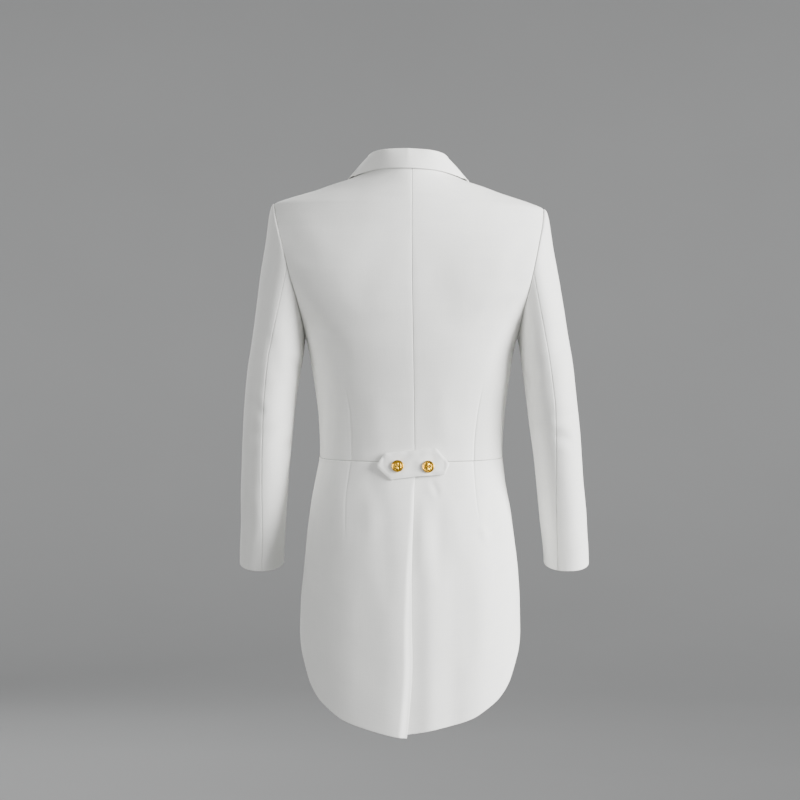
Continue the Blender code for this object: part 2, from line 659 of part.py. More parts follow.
def button(name, x, up):
    """A turned shank button on the tab: a domed middle inside a raised rim."""
    radius = BUTTON_RADIUS
    profile = (
        (0.0, 0.0000),
        (0.62 * radius, 0.0000),
        (0.90 * radius, 0.0012),
        (radius, 0.0026),
        (0.97 * radius, 0.0038),
        (0.86 * radius, 0.0040),
        (0.78 * radius, 0.0031),
        (0.50 * radius, 0.0040),
        (0.0, 0.0044),
    )
    mesh = bpy.data.meshes.new(name)
    points = [(reach, 0.0, height) for reach, height in profile]
    edges = [(i, i + 1) for i in range(len(points) - 1)]
    mesh.from_pydata(points, edges, [])
    mesh.materials.append(material(name, GOLD, 0.3, 1.0))
    piece = bpy.data.objects.new(name, mesh)
    parts.objects.link(piece)
    turned = piece.modifiers.new("turned", "SCREW")
    turned.steps = 28
    turned.render_steps = 28
    turned.use_normal_flip = True
    turned.use_merge_vertices = True
    turned.merge_threshold = 0.0001
    seat = tab_point(x, up)
    along = tab_point(x + 0.001, up) - seat
    upward = tab_point(x, up + 0.1) - seat
    normal = Vector(np.cross(upward, along)).normalized()
    piece.rotation_euler = normal.to_track_quat("Z", "Y").to_euler()
    piece.location = Vector(seat) + normal * BUTTON_CLEAR
    return piece


for old in list(bpy.data.objects):
    bpy.data.objects.remove(old)

parts = bpy.data.collections.new("tailcoat")
bpy.context.scene.collection.children.link(parts)

CAP_SHARES = np.array([0.0, 0.002, 0.012, 0.035, 0.08, 0.17, 0.30, 0.46, 0.64, 0.82])
for label, direction in SIDES.items():
    cloth("back_" + label, back_grid(direction), BACKWARD)
    cloth("front_" + label, front_grid(direction), FORWARD)
    cloth("tail_" + label, tail_grid(label), BACKWARD)
    cloth("lapel_" + label, lapel_grid(direction), FORWARD, LAPPED_WALL)
    cloth("sleeve_upper_" + label, sleeve_grid(label, True, 14, CAP_SHARES), (direction, 0.0, 0.0))
    cloth("sleeve_under_" + label, sleeve_grid(label, False, 10, CAP_SHARES), (-direction, 0.0, 0.0))
    button("tab_button_" + label, *BUTTON_SEATS[label])
cloth("collar", collar_grid(), (0.0, 0.0, 1.0), LAPPED_WALL)
cloth("back_tab", tab_grid(), BACKWARD, TAB_WALL)
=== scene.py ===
# %% [markdown]
# # A white tailcoat, seen from behind
#
# A tailcoat is cut from flat pieces of white suiting: two backs, two fronts, two tails, four
# sleeve pieces, a collar, two lapels and a small tab that holds two gold buttons over the waist
# seam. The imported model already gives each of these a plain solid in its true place.
#
# Here every piece is made again as a fine shell of cloth on the same form, so that it can have
# rolled edges, seams, darts and creases. The short tables of sizes that shaped the solids shape
# the cloth too, so the two lie within a few millimetres of each other.

import math

import bpy
import numpy as np
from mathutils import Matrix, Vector, noise


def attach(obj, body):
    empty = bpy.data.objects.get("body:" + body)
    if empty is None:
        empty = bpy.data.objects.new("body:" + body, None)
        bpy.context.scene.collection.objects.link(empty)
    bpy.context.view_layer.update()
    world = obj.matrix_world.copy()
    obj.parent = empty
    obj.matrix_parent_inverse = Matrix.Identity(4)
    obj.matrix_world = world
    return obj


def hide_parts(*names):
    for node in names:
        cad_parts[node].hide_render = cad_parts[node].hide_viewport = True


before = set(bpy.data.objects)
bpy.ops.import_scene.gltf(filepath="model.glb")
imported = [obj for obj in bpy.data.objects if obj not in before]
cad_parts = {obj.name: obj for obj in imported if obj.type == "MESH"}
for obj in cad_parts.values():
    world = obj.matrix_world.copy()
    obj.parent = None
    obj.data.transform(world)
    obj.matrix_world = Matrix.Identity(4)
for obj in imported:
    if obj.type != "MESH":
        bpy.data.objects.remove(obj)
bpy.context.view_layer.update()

# %% [markdown]
# ## The camera
#
# The coat is seen from straight behind, a little above the height of its waist and from four
# metres away. A long lens keeps the near tails and the far fronts almost the same size. The lens
# is found from how wide the view is at the coat's middle plane.

# %% Set up the camera
CAMERA_DISTANCE = 4.0
VIEW_WIDTH = 1.32  # at the coat's middle plane
CAMERA_X = 0.019
CAMERA_Z = -0.365


def add_object(name, data):
    """An object in the scene."""
    made = bpy.data.objects.new(name, data)
    bpy.context.scene.collection.objects.link(made)
    return made


camera_data = bpy.data.cameras.new("camera")
camera_data.lens = camera_data.sensor_width * CAMERA_DISTANCE / VIEW_WIDTH
camera = add_object("camera", camera_data)
camera.location = (CAMERA_X, CAMERA_DISTANCE, CAMERA_Z)
camera.rotation_euler = (math.radians(90), 0.0, math.radians(180))
bpy.context.scene.camera = camera
print("lens:", round(camera_data.lens, 1), "mm")

# %% [markdown]
# ## Floor and light
#
# White cloth shows its form only by soft shade. The main light comes from the right, well round
# to the side, so that the right half of the coat is bright and each surface that turns away from
# it falls a little darker. It is a sun lamp that looks as wide as a large softbox, so it is soft
# and lights the floor evenly. Weaker lights keep the rest readable. The floor is a plain light
# grey and curves up into a wall far behind the coat, as a paper sweep does in a studio.

# %% Lay the floor
FLOOR_Z = -1.46  # a grown wearer's neck is about this high
FLOOR_FROM_Y = 30.0
SWEEP_FROM_Y = -5.0
SWEEP_RADIUS = 3.5
SWEEP_STEPS = 24
WALL_TOP_Z = 9.0
FLOOR_HALF_WIDTH = 30.0


def make_sweep():
    """A floor that curves up into a wall far behind the coat."""
    turns = [math.radians(90) * step / SWEEP_STEPS for step in range(SWEEP_STEPS + 1)]
    curve = [
        (SWEEP_FROM_Y - SWEEP_RADIUS * math.sin(turn), FLOOR_Z + SWEEP_RADIUS * (1 - math.cos(turn)))
        for turn in turns
    ]
    profile = [(FLOOR_FROM_Y, FLOOR_Z), *curve, (SWEEP_FROM_Y - SWEEP_RADIUS, WALL_TOP_Z)]
    points = [(x, y, z) for y, z in profile for x in (-FLOOR_HALF_WIDTH, FLOOR_HALF_WIDTH)]
    faces = [(2 * row, 2 * row + 1, 2 * row + 3, 2 * row + 2) for row in range(len(profile) - 1)]
    mesh = bpy.data.meshes.new("floor")
    mesh.from_pydata(points, [], faces)
    mesh.shade_smooth()
    sweep = add_object("floor", mesh)
    return sweep


floor = make_sweep()
print("floor at", FLOOR_Z, "metres, corners:", len(floor.data.vertices))

# %% Place the lights
AIM = Vector((0.0, 0.0, -0.42))
KEY_FROM = (-7.0, 2.4, 1.4)
KEY_STRENGTH = 13.8
KEY_ANGLE = 40.0  # degrees across
LIGHTS = (
    {"name": "fill", "at": (3.6, 4.1, 0.9), "size": 3.6, "power": 145.0},
    {"name": "top", "at": (0.3, 0.6, 3.2), "size": 2.6, "power": 8.0},
    {"name": "front", "at": (1.8, -3.8, 1.4), "size": 2.8, "power": 140.0},
)
WORLD_COLOUR = (0.50, 0.51, 0.52, 1.0)
WORLD_STRENGTH = 0.47


def place_lamp(lamp, place):
    """A lamp at its place, turned towards the coat."""
    lamp_object = add_object(lamp.name, lamp)
    lamp_object.location = place
    lamp_object.rotation_euler = (AIM - Vector(place)).to_track_quat("-Z", "Y").to_euler()


sun = bpy.data.lights.new("key", "SUN")
sun.energy = KEY_STRENGTH
sun.angle = math.radians(KEY_ANGLE)
place_lamp(sun, KEY_FROM)

for light in LIGHTS:
    lamp = bpy.data.lights.new(light["name"], "AREA")
    lamp.shape = "DISK"
    lamp.size = light["size"]
    lamp.energy = light["power"]
    place_lamp(lamp, light["at"])

world = bpy.data.worlds.new("studio")
world.use_nodes = True
background = world.node_tree.nodes["Background"]
background.inputs["Color"].default_value = WORLD_COLOUR
background.inputs["Strength"].default_value = WORLD_STRENGTH
bpy.context.scene.world = world
print("lights: key,", ", ".join(light["name"] for light in LIGHTS))

# %% [markdown]
# ## Finishes
#
# White suiting is a plain weave of fine wool-blend yarn: almost half a millimetre from thread to
# thread, matt, with a faint sheen where light grazes it. Two sets of waves, one along the warp
# and one along the weft, take turns on a small chequer, and a bump node turns them into relief.
# Long thin noise along the threads makes some yarns a little thicker and greyer, as in real
# cloth. The waves run on each piece's own flat pattern, so that the weave bends with the cloth.

# %% Node helpers
def new_material(name):
    """A material with its tree, and its shader."""
    made = bpy.data.materials.new(name)
    made.use_nodes = True
    return made, made.node_tree, made.node_tree.nodes["Principled BSDF"]


def add_node(tree, kind, inputs=None, **settings):
    """A node with its settings and the values or links of its inputs."""
    node = tree.nodes.new(kind)
    for key, value in settings.items():
        setattr(node, key, value)
    for key, value in (inputs or {}).items():
        if isinstance(value, bpy.types.NodeSocket):
            tree.links.new(value, node.inputs[key])
        else:
            node.inputs[key].default_value = value
    return node


def math_node(tree, operation, *values):
    """The result of one sum."""
    inputs = dict(enumerate(values))
    return add_node(tree, "ShaderNodeMath", inputs, operation=operation).outputs[0]


def weighted_sum(tree, values, shares):
    """The sum of the values that the shares name, each times its share."""
    total = 0.0
    for name, share in shares.items():
        total = math_node(tree, "MULTIPLY_ADD", values[name], share, total)
    return total


def noise_value(tree, place, scale, detail):
    """Soft noise between 0 and 1."""
    inputs = {"Vector": place, "Scale": scale, "Detail": detail}
    return add_node(tree, "ShaderNodeTexNoise", inputs).outputs["Fac"]


def stretched(tree, place, scale):
    """A place, scaled by another number in each direction."""
    return add_node(tree, "ShaderNodeMapping", {"Vector": place, "Scale": scale}).outputs["Vector"]


def ramp(tree, value, *stops):
    """A colour for each value, from (place, colour) pairs."""
    node = add_node(tree, "ShaderNodeValToRGB", {"Fac": value})
    marks = node.color_ramp.elements
    while len(marks) < len(stops):
        marks.new(0.5)
    for mark, (place, colour) in zip(marks, stops):
        mark.position = place
        mark.color = (*colour, 1.0)
    return node.outputs["Color"]


def set_surface(tree, shader, colour, relief, roughness):
    """The shader's colour, its relief (value, strength, metres) and roughness (value, low, high)."""
    height, strength, distance = relief
    inputs = {"Height": height, "Strength": strength, "Distance": distance}
    bump = add_node(tree, "ShaderNodeBump", inputs)
    value, low, high = roughness
    rough = add_node(tree, "ShaderNodeMapRange", {"Value": value, "To Min": low, "To Max": high})
    tree.links.new(colour, shader.inputs["Base Color"])
    tree.links.new(bump.outputs["Normal"], shader.inputs["Normal"])
    tree.links.new(rough.outputs["Result"], shader.inputs["Roughness"])


# %% Weave the suiting
THREADS_PER_METRE = 2100.0
WHITE = (0.845, 0.845, 0.814)
SHADE = (0.785, 0.787, 0.762)
SHADE_AT = 0.34
WHITE_AT = 0.58
SLUB_SCALE = (900.0, 14.0, 1.0)  # a slub, a thick place in a yarn, is thin across and long along it
CROSS_SLUB_SCALE = (14.0, 900.0, 1.0)
SLUB_DETAIL = 3.0
MOTTLE_SCALE = 26.0
MOTTLE_DETAIL = 4.0
TONE_SHARES = {"slubs": 0.4, "cross_slubs": 0.3, "mottle": 0.3}
RELIEF_SHARES = {"over": 0.6, "warp": 0.5, "weft": 0.5, "slubs": 0.8}
WEAVE_STRENGTH = 0.35
WEAVE_DEPTH = 0.00012
SUITING_ROUGH = (0.74, 0.86)
SUITING_SPECULAR = 0.28
SUITING_SHEEN = 0.16
SUITING_SHEEN_ROUGH = 0.45


def thread_wave(tree, place):
    """A wave that rises over one thread and falls over the next."""
    turns = math_node(tree, "MULTIPLY", place, math.pi * THREADS_PER_METRE)
    return math_node(tree, "SINE", turns)


def make_suiting():
    """White plain-weave suiting."""
    suiting, tree, shader = new_material("white_suiting")
    pattern = add_node(tree, "ShaderNodeTexCoord").outputs["UV"]
    parts = add_node(tree, "ShaderNodeSeparateXYZ", {"Vector": pattern})
    warp = thread_wave(tree, parts.outputs["X"])
    weft = thread_wave(tree, parts.outputs["Y"])
    long_threads = stretched(tree, pattern, SLUB_SCALE)
    cross_threads = stretched(tree, pattern, CROSS_SLUB_SCALE)
    values = {
        "over": math_node(tree, "MULTIPLY", warp, weft),
        "warp": math_node(tree, "ABSOLUTE", warp),
        "weft": math_node(tree, "ABSOLUTE", weft),
        "slubs": noise_value(tree, long_threads, 1.0, SLUB_DETAIL),
        "cross_slubs": noise_value(tree, cross_threads, 1.0, SLUB_DETAIL),
        "mottle": noise_value(tree, pattern, MOTTLE_SCALE, MOTTLE_DETAIL),
    }
    tone = weighted_sum(tree, values, TONE_SHARES)
    colour = ramp(tree, tone, (SHADE_AT, SHADE), (WHITE_AT, WHITE))
    height = weighted_sum(tree, values, RELIEF_SHARES)
    relief = (height, WEAVE_STRENGTH, WEAVE_DEPTH)
    set_surface(tree, shader, colour, relief, (values["mottle"], *SUITING_ROUGH))
    shader.inputs["Specular IOR Level"].default_value = SUITING_SPECULAR
    shader.inputs["Sheen Weight"].default_value = SUITING_SHEEN
    shader.inputs["Sheen Roughness"].default_value = SUITING_SHEEN_ROUGH
    return suiting


suiting = make_suiting()
print("suiting:", len(suiting.node_tree.nodes), "nodes,", THREADS_PER_METRE, "threads a metre")

# %% [markdown]
# Each button is gold-plated brass. A fine grain makes the plating a little uneven in colour,
# roughness and relief, which stops the metal from looking like a mirror. The floor gets a matt
# paint with faint clouds, so that nothing in it draws the eye from the coat.

# %% Plate the buttons
GOLD = (0.78, 0.49, 0.06)
DARK_GOLD = (0.56, 0.32, 0.03)
DARK_GOLD_AT = 0.35
GOLD_AT = 0.65
GRAIN_SCALE = 900.0
GRAIN_DETAIL = 3.0
GRAIN_STRENGTH = 0.15
GRAIN_DEPTH = 0.00005
GOLD_ROUGH = (0.16, 0.28)


def make_gold():
    """Gold plating on pressed brass."""
    gold, tree, shader = new_material("gold_plate")
    place = add_node(tree, "ShaderNodeTexCoord").outputs["Object"]
    grain = noise_value(tree, place, GRAIN_SCALE, GRAIN_DETAIL)
    colour = ramp(tree, grain, (DARK_GOLD_AT, DARK_GOLD), (GOLD_AT, GOLD))
    set_surface(tree, shader, colour, (grain, GRAIN_STRENGTH, GRAIN_DEPTH), (grain, *GOLD_ROUGH))
    shader.inputs["Metallic"].default_value = 1.0
    return gold


gold_plate = make_gold()
print("gold:", len(gold_plate.node_tree.nodes), "nodes")

# %% Paint the floor
FLOOR_COLOUR = (0.145, 0.147, 0.147)
DARKER_SHARE = 0.97
DARKER_AT = 0.3
FLOOR_COLOUR_AT = 0.7
CLOUD_SCALE = 1.5
CLOUD_DETAIL = 3.0
FLOOR_ROUGH = 0.9


def make_floor_paint():
    """Matt paint with faint clouds."""
    paint, tree, shader = new_material("pale_floor")
    place = add_node(tree, "ShaderNodeTexCoord").outputs["Object"]
    cloud = noise_value(tree, place, CLOUD_SCALE, CLOUD_DETAIL)
    darker = tuple(DARKER_SHARE * value for value in FLOOR_COLOUR)
    colour = ramp(tree, cloud, (DARKER_AT, darker), (FLOOR_COLOUR_AT, FLOOR_COLOUR))
    tree.links.new(colour, shader.inputs["Base Color"])
    shader.inputs["Roughness"].default_value = FLOOR_ROUGH
    return paint


floor.data.materials.append(make_floor_paint())
print("floor paint:", FLOOR_COLOUR)

# %% [markdown]
# ## The coat's form
#
# Everything that follows is measured on one form, the shape that the wearer gives the coat. It is
# described by level rings: at each height a short table says how wide and how deep the ring is,
# and how square. A smooth curve through the rows gives every height between them. The same
# numbers, in metres, are in the source of the solids.

# %% Read sizes from small tables
class Table:
    """Rows of sizes under named columns, read at any value of the first one along a smooth curve."""

    def __init__(self, columns, *rows):
        rows = np.array(sorted(rows), float)
        self.at = rows[:, 0]
        self.columns = dict(zip(columns.split(), rows.T))

    def __call__(self, column, at):
        known, value = self.at, self.columns[column]
        gaps = np.diff(known)
        rates = np.diff(value) / gaps
        slopes = np.concatenate([rates[:1], np.zeros(len(rates) - 1), rates[-1:]])
        same = rates[:-1] * rates[1:] > 0
        before, after = gaps[:-1][same], gaps[1:][same]
        first, second = 2 * after + before, after + 2 * before
        slopes[1:-1][same] = (first + second) / (first / rates[:-1][same] + second / rates[1:][same])
        at = np.clip(at, known[0], known[-1])
        row = np.clip(np.searchsorted(known, at) - 1, 0, len(gaps) - 1)
        share = (at - known[row]) / gaps[row]
        rise, gap = value[row + 1] - value[row], gaps[row]
        start, end = slopes[row] * gap, slopes[row + 1] * gap
        return value[row] + share * (
            start + share * (3 * rise - 2 * start - end + share * (start + end - 2 * rise))
        )


# %% The body of the coat, ring by ring
BODY = Table(
    "z back_side front_side back front middle back_round front_round",
    (0.018, 0.0660, 0.0660, 0.0620, -0.040, 0.002, 2.00, 2.00),
    (0.010, 0.0725, 0.0725, 0.0660, -0.046, 0.000, 1.90, 1.90),
    (0.004, 0.0820, 0.0820, 0.0690, -0.050, -0.001, 1.75, 1.75),
    (-0.003, 0.0980, 0.0980, 0.0725, -0.054, -0.002, 1.68, 1.68),
    (-0.0085, 0.1160, 0.1160, 0.0750, -0.057, -0.003, 1.64, 1.64),
    (-0.0143, 0.1330, 0.1330, 0.0775, -0.060, -0.004, 1.62, 1.62),
    (-0.0215, 0.1530, 0.1530, 0.0810, -0.063, -0.005, 1.62, 1.62),
    (-0.028, 0.1740, 0.1740, 0.0840, -0.066, -0.005, 1.62, 1.62),
    (-0.0345, 0.1950, 0.1950, 0.0865, -0.069, -0.006, 1.62, 1.62),
    (-0.0455, 0.2220, 0.2220, 0.0910, -0.074, -0.006, 1.63, 1.62),
    (-0.060, 0.2310, 0.2300, 0.0955, -0.081, -0.006, 1.72, 1.68),
    (-0.080, 0.2385, 0.2355, 0.1010, -0.090, -0.005, 1.85, 1.75),
    (-0.100, 0.2400, 0.2355, 0.1055, -0.099, -0.005, 2.08, 1.90),
    (-0.120, 0.2385, 0.2325, 0.1090, -0.106, -0.004, 2.27, 2.05),
    (-0.140, 0.2340, 0.2275, 0.1115, -0.112, -0.004, 2.42, 2.15),
    (-0.160, 0.2265, 0.2200, 0.1130, -0.117, -0.003, 2.52, 2.25),
    (-0.180, 0.2165, 0.2110, 0.1135, -0.121, -0.003, 2.56, 2.30),
    (-0.200, 0.2055, 0.2010, 0.1130, -0.124, -0.003, 2.6, 2.3),
    (-0.220, 0.1940, 0.1915, 0.1120, -0.126, -0.003, 2.55, 2.3),
    (-0.240, 0.1835, 0.1825, 0.1100, -0.127, -0.004, 2.5, 2.3),
    (-0.262, 0.1745, 0.1745, 0.1075, -0.127, -0.004, 2.5, 2.3),
    (-0.282, 0.1695, 0.1695, 0.1050, -0.126, -0.005, 2.45, 2.3),
    (-0.315, 0.1640, 0.1640, 0.0990, -0.123, -0.007, 2.4, 2.3),
    (-0.348, 0.1587, 0.1587, 0.0925, -0.119, -0.008, 2.35, 2.3),
    (-0.381, 0.1545, 0.1545, 0.0865, -0.115, -0.010, 2.3, 2.3),
    (-0.414, 0.1517, 0.1517, 0.0820, -0.111, -0.011, 2.3, 2.3),
    (-0.447, 0.1505, 0.1505, 0.0795, -0.108, -0.012, 2.3, 2.3),
    (-0.470, 0.1507, 0.1507, 0.0795, -0.107, -0.012, 2.3, 2.3),
    (-0.500, 0.1520, 0.1520, 0.0830, -0.107, -0.012, 2.3, 2.3),
)
ARMHOLE = Table(
    "z back front",
    (-0.0455, 0.2220, 0.2220),
    (-0.0675, 0.2190, 0.2150),
    (-0.098, 0.2125, 0.2030),
    (-0.1335, 0.2045, 0.1920),
    (-0.169, 0.1960, 0.1840),
    (-0.203, 0.1865, 0.1785),
    (-0.2445, 0.1775, 0.1750),
    (-0.262, 0.1745, 0.1745),
)
CENTRE = Table(
    "z x",
    (0.018, -0.0060),
    (-0.106, -0.0030),
    (-0.231, -0.0018),
    (-0.348, -0.0035),
    (-0.465, -0.0050),
)
FRONT_EDGE = Table(
    "z x",
    (0.010, 0.0690),
    (0.000, 0.0680),
    (-0.045, 0.0655),
    (-0.100, 0.0625),
    (-0.200, 0.0570),
    (-0.300, 0.0515),
    (-0.410, 0.0460),
    (-0.465, 0.0480),
    (-0.500, 0.0540),
)
SHOULDER_Z = -0.0455
SHOULDER_TOP_Z = -0.004
UNDERARM_Z = -0.262
WAIST_Z = -0.465  # the waist seam at the centre back
WAIST_RISE = 0.006  # how much higher it is at the sides
NECK_Z = 0.018
NECK_DROP = 0.008
FRONT_NECK_Z = 0.0045
ARM_MIDDLE_Z = (SHOULDER_Z + UNDERARM_Z) / 2
ARM_HALF = (SHOULDER_Z - UNDERARM_Z) / 2
SEAM = 0.0003
LEAN = 0.0195  # radians: the left shoulder stands a little higher
LEAN_FROM_Z = -0.26
LEAN_FADE = 0.05
SIDES = {"left": 1.0, "right": -1.0}
print("body rings:", len(BODY.at))


# %% Points on the form
def smooth_step(value):
    """0 below 0 and 1 above 1, with a soft way between them."""
    value = np.clip(value, 0.0, 1.0)
    return value * value * (3.0 - 2.0 * value)


def stack(x, y, z):
    """Points from their coordinates."""
    return np.stack(np.broadcast_arrays(x, y, z), axis=-1)


def lean(points):
    """Tips the coat above the underarm a little to the right."""
    height = points[..., 2] - LEAN_FROM_Z
    share = LEAN * smooth_step((height + LEAN_FADE) / (3 * LEAN_FADE))
    moved = points.copy()
    moved[..., 0] += share * np.maximum(height, 0.0)
    moved[..., 2] += share * points[..., 0]
    return moved


def half_form(face, z):
    """The half width, the depth and the roundness of the coat's form at a height."""
    depth = np.abs(BODY(face, z) - BODY("middle", z))
    return BODY(face + "_side", z), depth, BODY(face + "_round", z)


def turn_of(face, x, z):
    """The turn from the centre at which the form is x wide."""
    width, _, roundness = half_form(face, z)
    return np.sign(x) * np.arcsin(np.minimum(np.abs(x) / width, 1.0) ** (roundness / 2))


def edge_turn(face, z):
    """The turn at which a panel ends at a height: the armhole, or else the side or shoulder seam."""
    beside_arm = (z < SHOULDER_Z) & (z > UNDERARM_Z)
    return np.where(beside_arm, turn_of(face, ARMHOLE(face, z), z), math.pi / 2)


def on_form(face, turn, z):
    """Points of the coat's form above the waist, before it leans."""
    width, depth, roundness = half_form(face, z)
    sine, cosine = np.sin(turn), np.maximum(np.cos(turn), 0.0)
    x = width * np.sign(sine) * np.abs(sine) ** (2 / roundness)
    reach = depth * cosine ** (2 / roundness) + SEAM / 2
    return stack(x, BODY("middle", z) + (reach if face == "back" else -reach), z)


def waist_rise(turn):
    """How much higher the waist seam is at a turn than at the centre back."""
    return WAIST_RISE * np.clip(turn / (math.pi / 2), 0.0, 1.0) ** 2


def levels_beside_arm(count):
    """Heights up the armhole that are evenly spaced round it."""
    turns = np.linspace(math.pi, 0.0, count + 1)
    return ARM_MIDDLE_Z + ARM_HALF * np.cos(turns)


print("the back's middle at the waist:", on_form("back", 0.0, WAIST_Z).round(4))

# %% [markdown]
# ## Turning points into cloth
#
# Each piece starts as an open grid of points. A few small helpers make it look sewn. The first
# presses creases into it: a crease is a soft trough or ridge along a slightly bent line, given in
# the piece's own measures. The next adds the wall. Where a piece is sewn to another, its outer
# face turns in with a radius of about a millimetre, which leaves the thin groove of a pressed
# seam. Where its edge is free, both faces turn, so that the edge is round like a folded one. The
# inner face is made here too, instead of with a modifier, so that it stays flat up to the seams.

# %% Creases
CREASE_COLUMNS = "out z to_out to_z width depth bow".split()
CREASE_FADE = 0.8  # below 1 a crease keeps its depth nearly to its ends
CREASE_END_WIDTH = 0.65  # a crease's width at its ends, as a share of the width at its middle
REBOUND = 0.35  # beside a trough the cloth rises again, by this share of its depth
REBOUND_AT = 2.1  # and this many widths away
REBOUND_WIDTH = 1.1


def crease_list(*rows):
    """Creases by name of measure: where each starts and ends, its half width, depth and bend."""
    return [dict(zip(CREASE_COLUMNS, row)) for row in rows]


def normals(points, outward):
    """The outward direction at each point of a grid."""
    normal = np.cross(np.gradient(points, axis=1), np.gradient(points, axis=0))
    normal /= np.maximum(np.linalg.norm(normal, axis=-1, keepdims=True), 1e-12)
    middle = normal[normal.shape[0] // 2, normal.shape[1] // 2]
    return normal if middle @ np.array(outward) > 0 else -normal


def crease_height(out, z, creases):
    """How far creases move the cloth, by flat measures of the piece: above 0 is a ridge."""
    height = np.zeros(np.broadcast(out, z).shape)
    for crease in creases:
        way = np.array([crease["to_out"] - crease["out"], crease["to_z"] - crease["z"]])
        length = np.hypot(*way)
        way /= length
        from_start = (out - crease["out"]) * way[0] + (z - crease["z"]) * way[1]
        beside = (z - crease["z"]) * way[0] - (out - crease["out"]) * way[1]
        share = from_start / length
        beside = beside - 4 * crease["bow"] * share * (1 - share)
        fade = np.sin(np.pi * np.clip(share, 0.0, 1.0)) ** CREASE_FADE
        width = crease["width"] * (CREASE_END_WIDTH + (1 - CREASE_END_WIDTH) * fade)
        hollow = np.exp(-((beside / width) ** 2))
        from_rebound = np.abs(beside) - REBOUND_AT * width
        rebound = REBOUND * np.exp(-((from_rebound / (REBOUND_WIDTH * width)) ** 2))
        height = height + crease["depth"] * fade * (hollow - rebound)
    return height


UNEVEN = ({"scale": 9.0, "height": 0.0009}, {"scale": 26.0, "height": 0.00028})


def uneven(points):
    """The slight unevenness that any worn cloth has, the same on both sides of a seam."""
    flat = points.reshape(-1, 3)
    height = np.zeros(len(flat))
    for wave in UNEVEN:
        scaled = flat * wave["scale"]
        height += wave["height"] * np.array([noise.noise(Vector(point)) for point in scaled])
    return height.reshape(points.shape[:2])


def pressed(points, outward, height):
    """The points moved outward by a height and by the cloth's own unevenness."""
    return points + normals(points, outward) * (height + uneven(points))[..., None]


def edge_fade(share, rate):
    """0 at a piece's first and last edge and 1 between them, so that its seams keep their place."""
    return smooth_step(share * rate) * smooth_step((1 - share) * rate)


print("a crease is given by:", ", ".join(CREASE_COLUMNS))

# %% Turned edges
ROLL_STEPS = np.array([0.0, 0.12, 0.38, 0.70, 1.0])
ROLL_REACH = 0.8  # the close rows take at most this share of the grid's first gap
SIDE_NAMES = ("first_column", "last_column", "first_row", "last_row")


def turned_grid(points, side):
    """The grid with the named side as its first row. Turning it twice brings it back."""
    if side == "first_column":
        return points.swapaxes(0, 1)
    if side == "last_column":
        return points[::-1, ::-1].swapaxes(0, 1)
    return points if side == "first_row" else points[::-1, ::-1]


def add_close_rows(points, radii):
    """More rows beside each turned side, at the steps of its radius."""
    for side in SIDE_NAMES:
        if side in radii:
            rows = turned_grid(points, side)
            way = rows[1] - rows[0]
            gap = np.linalg.norm(way, axis=-1, keepdims=True)
            reach = np.minimum(radii[side] / gap, ROLL_REACH)
            near = [rows[0] + way * step * reach for step in ROLL_STEPS]
            points = turned_grid(np.concatenate([near, rows[1:]]), side)
    return points


def turned_depth(shape, radii):
    """How deep each point of a grid lies where its sides turn in."""
    depth = np.zeros(shape)
    for side, radius in radii.items():
        rows = turned_grid(depth, side)
        for row, step in enumerate(ROLL_STEPS):
            rows[row] = np.maximum(rows[row], radius * (1 - math.sqrt(1 - (1 - step) ** 2)))
    return depth


print("rows on a turned edge:", len(ROLL_STEPS))

# %% Cloth with a wall, a weave and a measured cut
cut_sizes = {}


def flat_pattern(points):
    """The flat place of each point of a grid, in metres along its columns and rows."""
    steps = np.linalg.norm(np.diff(points, axis=1), axis=-1).mean(axis=0)
    across = np.concatenate([[0.0], np.cumsum(steps)])
    steps = np.linalg.norm(np.diff(points, axis=0), axis=-1).mean(axis=1)
    along = np.concatenate([[0.0], np.cumsum(steps)])
    return np.stack(np.meshgrid(across, along), axis=-1).reshape(-1, 2)


def measure(points):
    """The width, length and area of a grid, laid flat."""
    width = np.linalg.norm(np.diff(points, axis=1), axis=-1).sum(axis=1).max()
    length = np.linalg.norm(np.diff(points, axis=0), axis=-1).sum(axis=0).max()
    across, along = np.diff(points, axis=1)[:-1], np.diff(points, axis=0)[:, :-1]
    area = np.linalg.norm(np.cross(across, along), axis=-1).sum()
    return width, length, area


def closed_faces(rows, across):
    """The faces of an outer grid, an inner grid and the rim between them."""
    index = np.arange(rows * across).reshape(rows, across)
    outer = np.stack([index[:-1, :-1], index[:-1, 1:], index[1:, 1:], index[1:, :-1]], axis=-1)
    outer = outer.reshape(-1, 4)
    loop = np.concatenate([index[0, :-1], index[:-1, -1], index[-1, :0:-1], index[:0:-1, 0]])
    after = np.roll(loop, -1)
    rim = np.stack([after, loop, loop + index.size, after + index.size], axis=-1)
    return np.concatenate([outer, outer[:, ::-1] + index.size, rim])


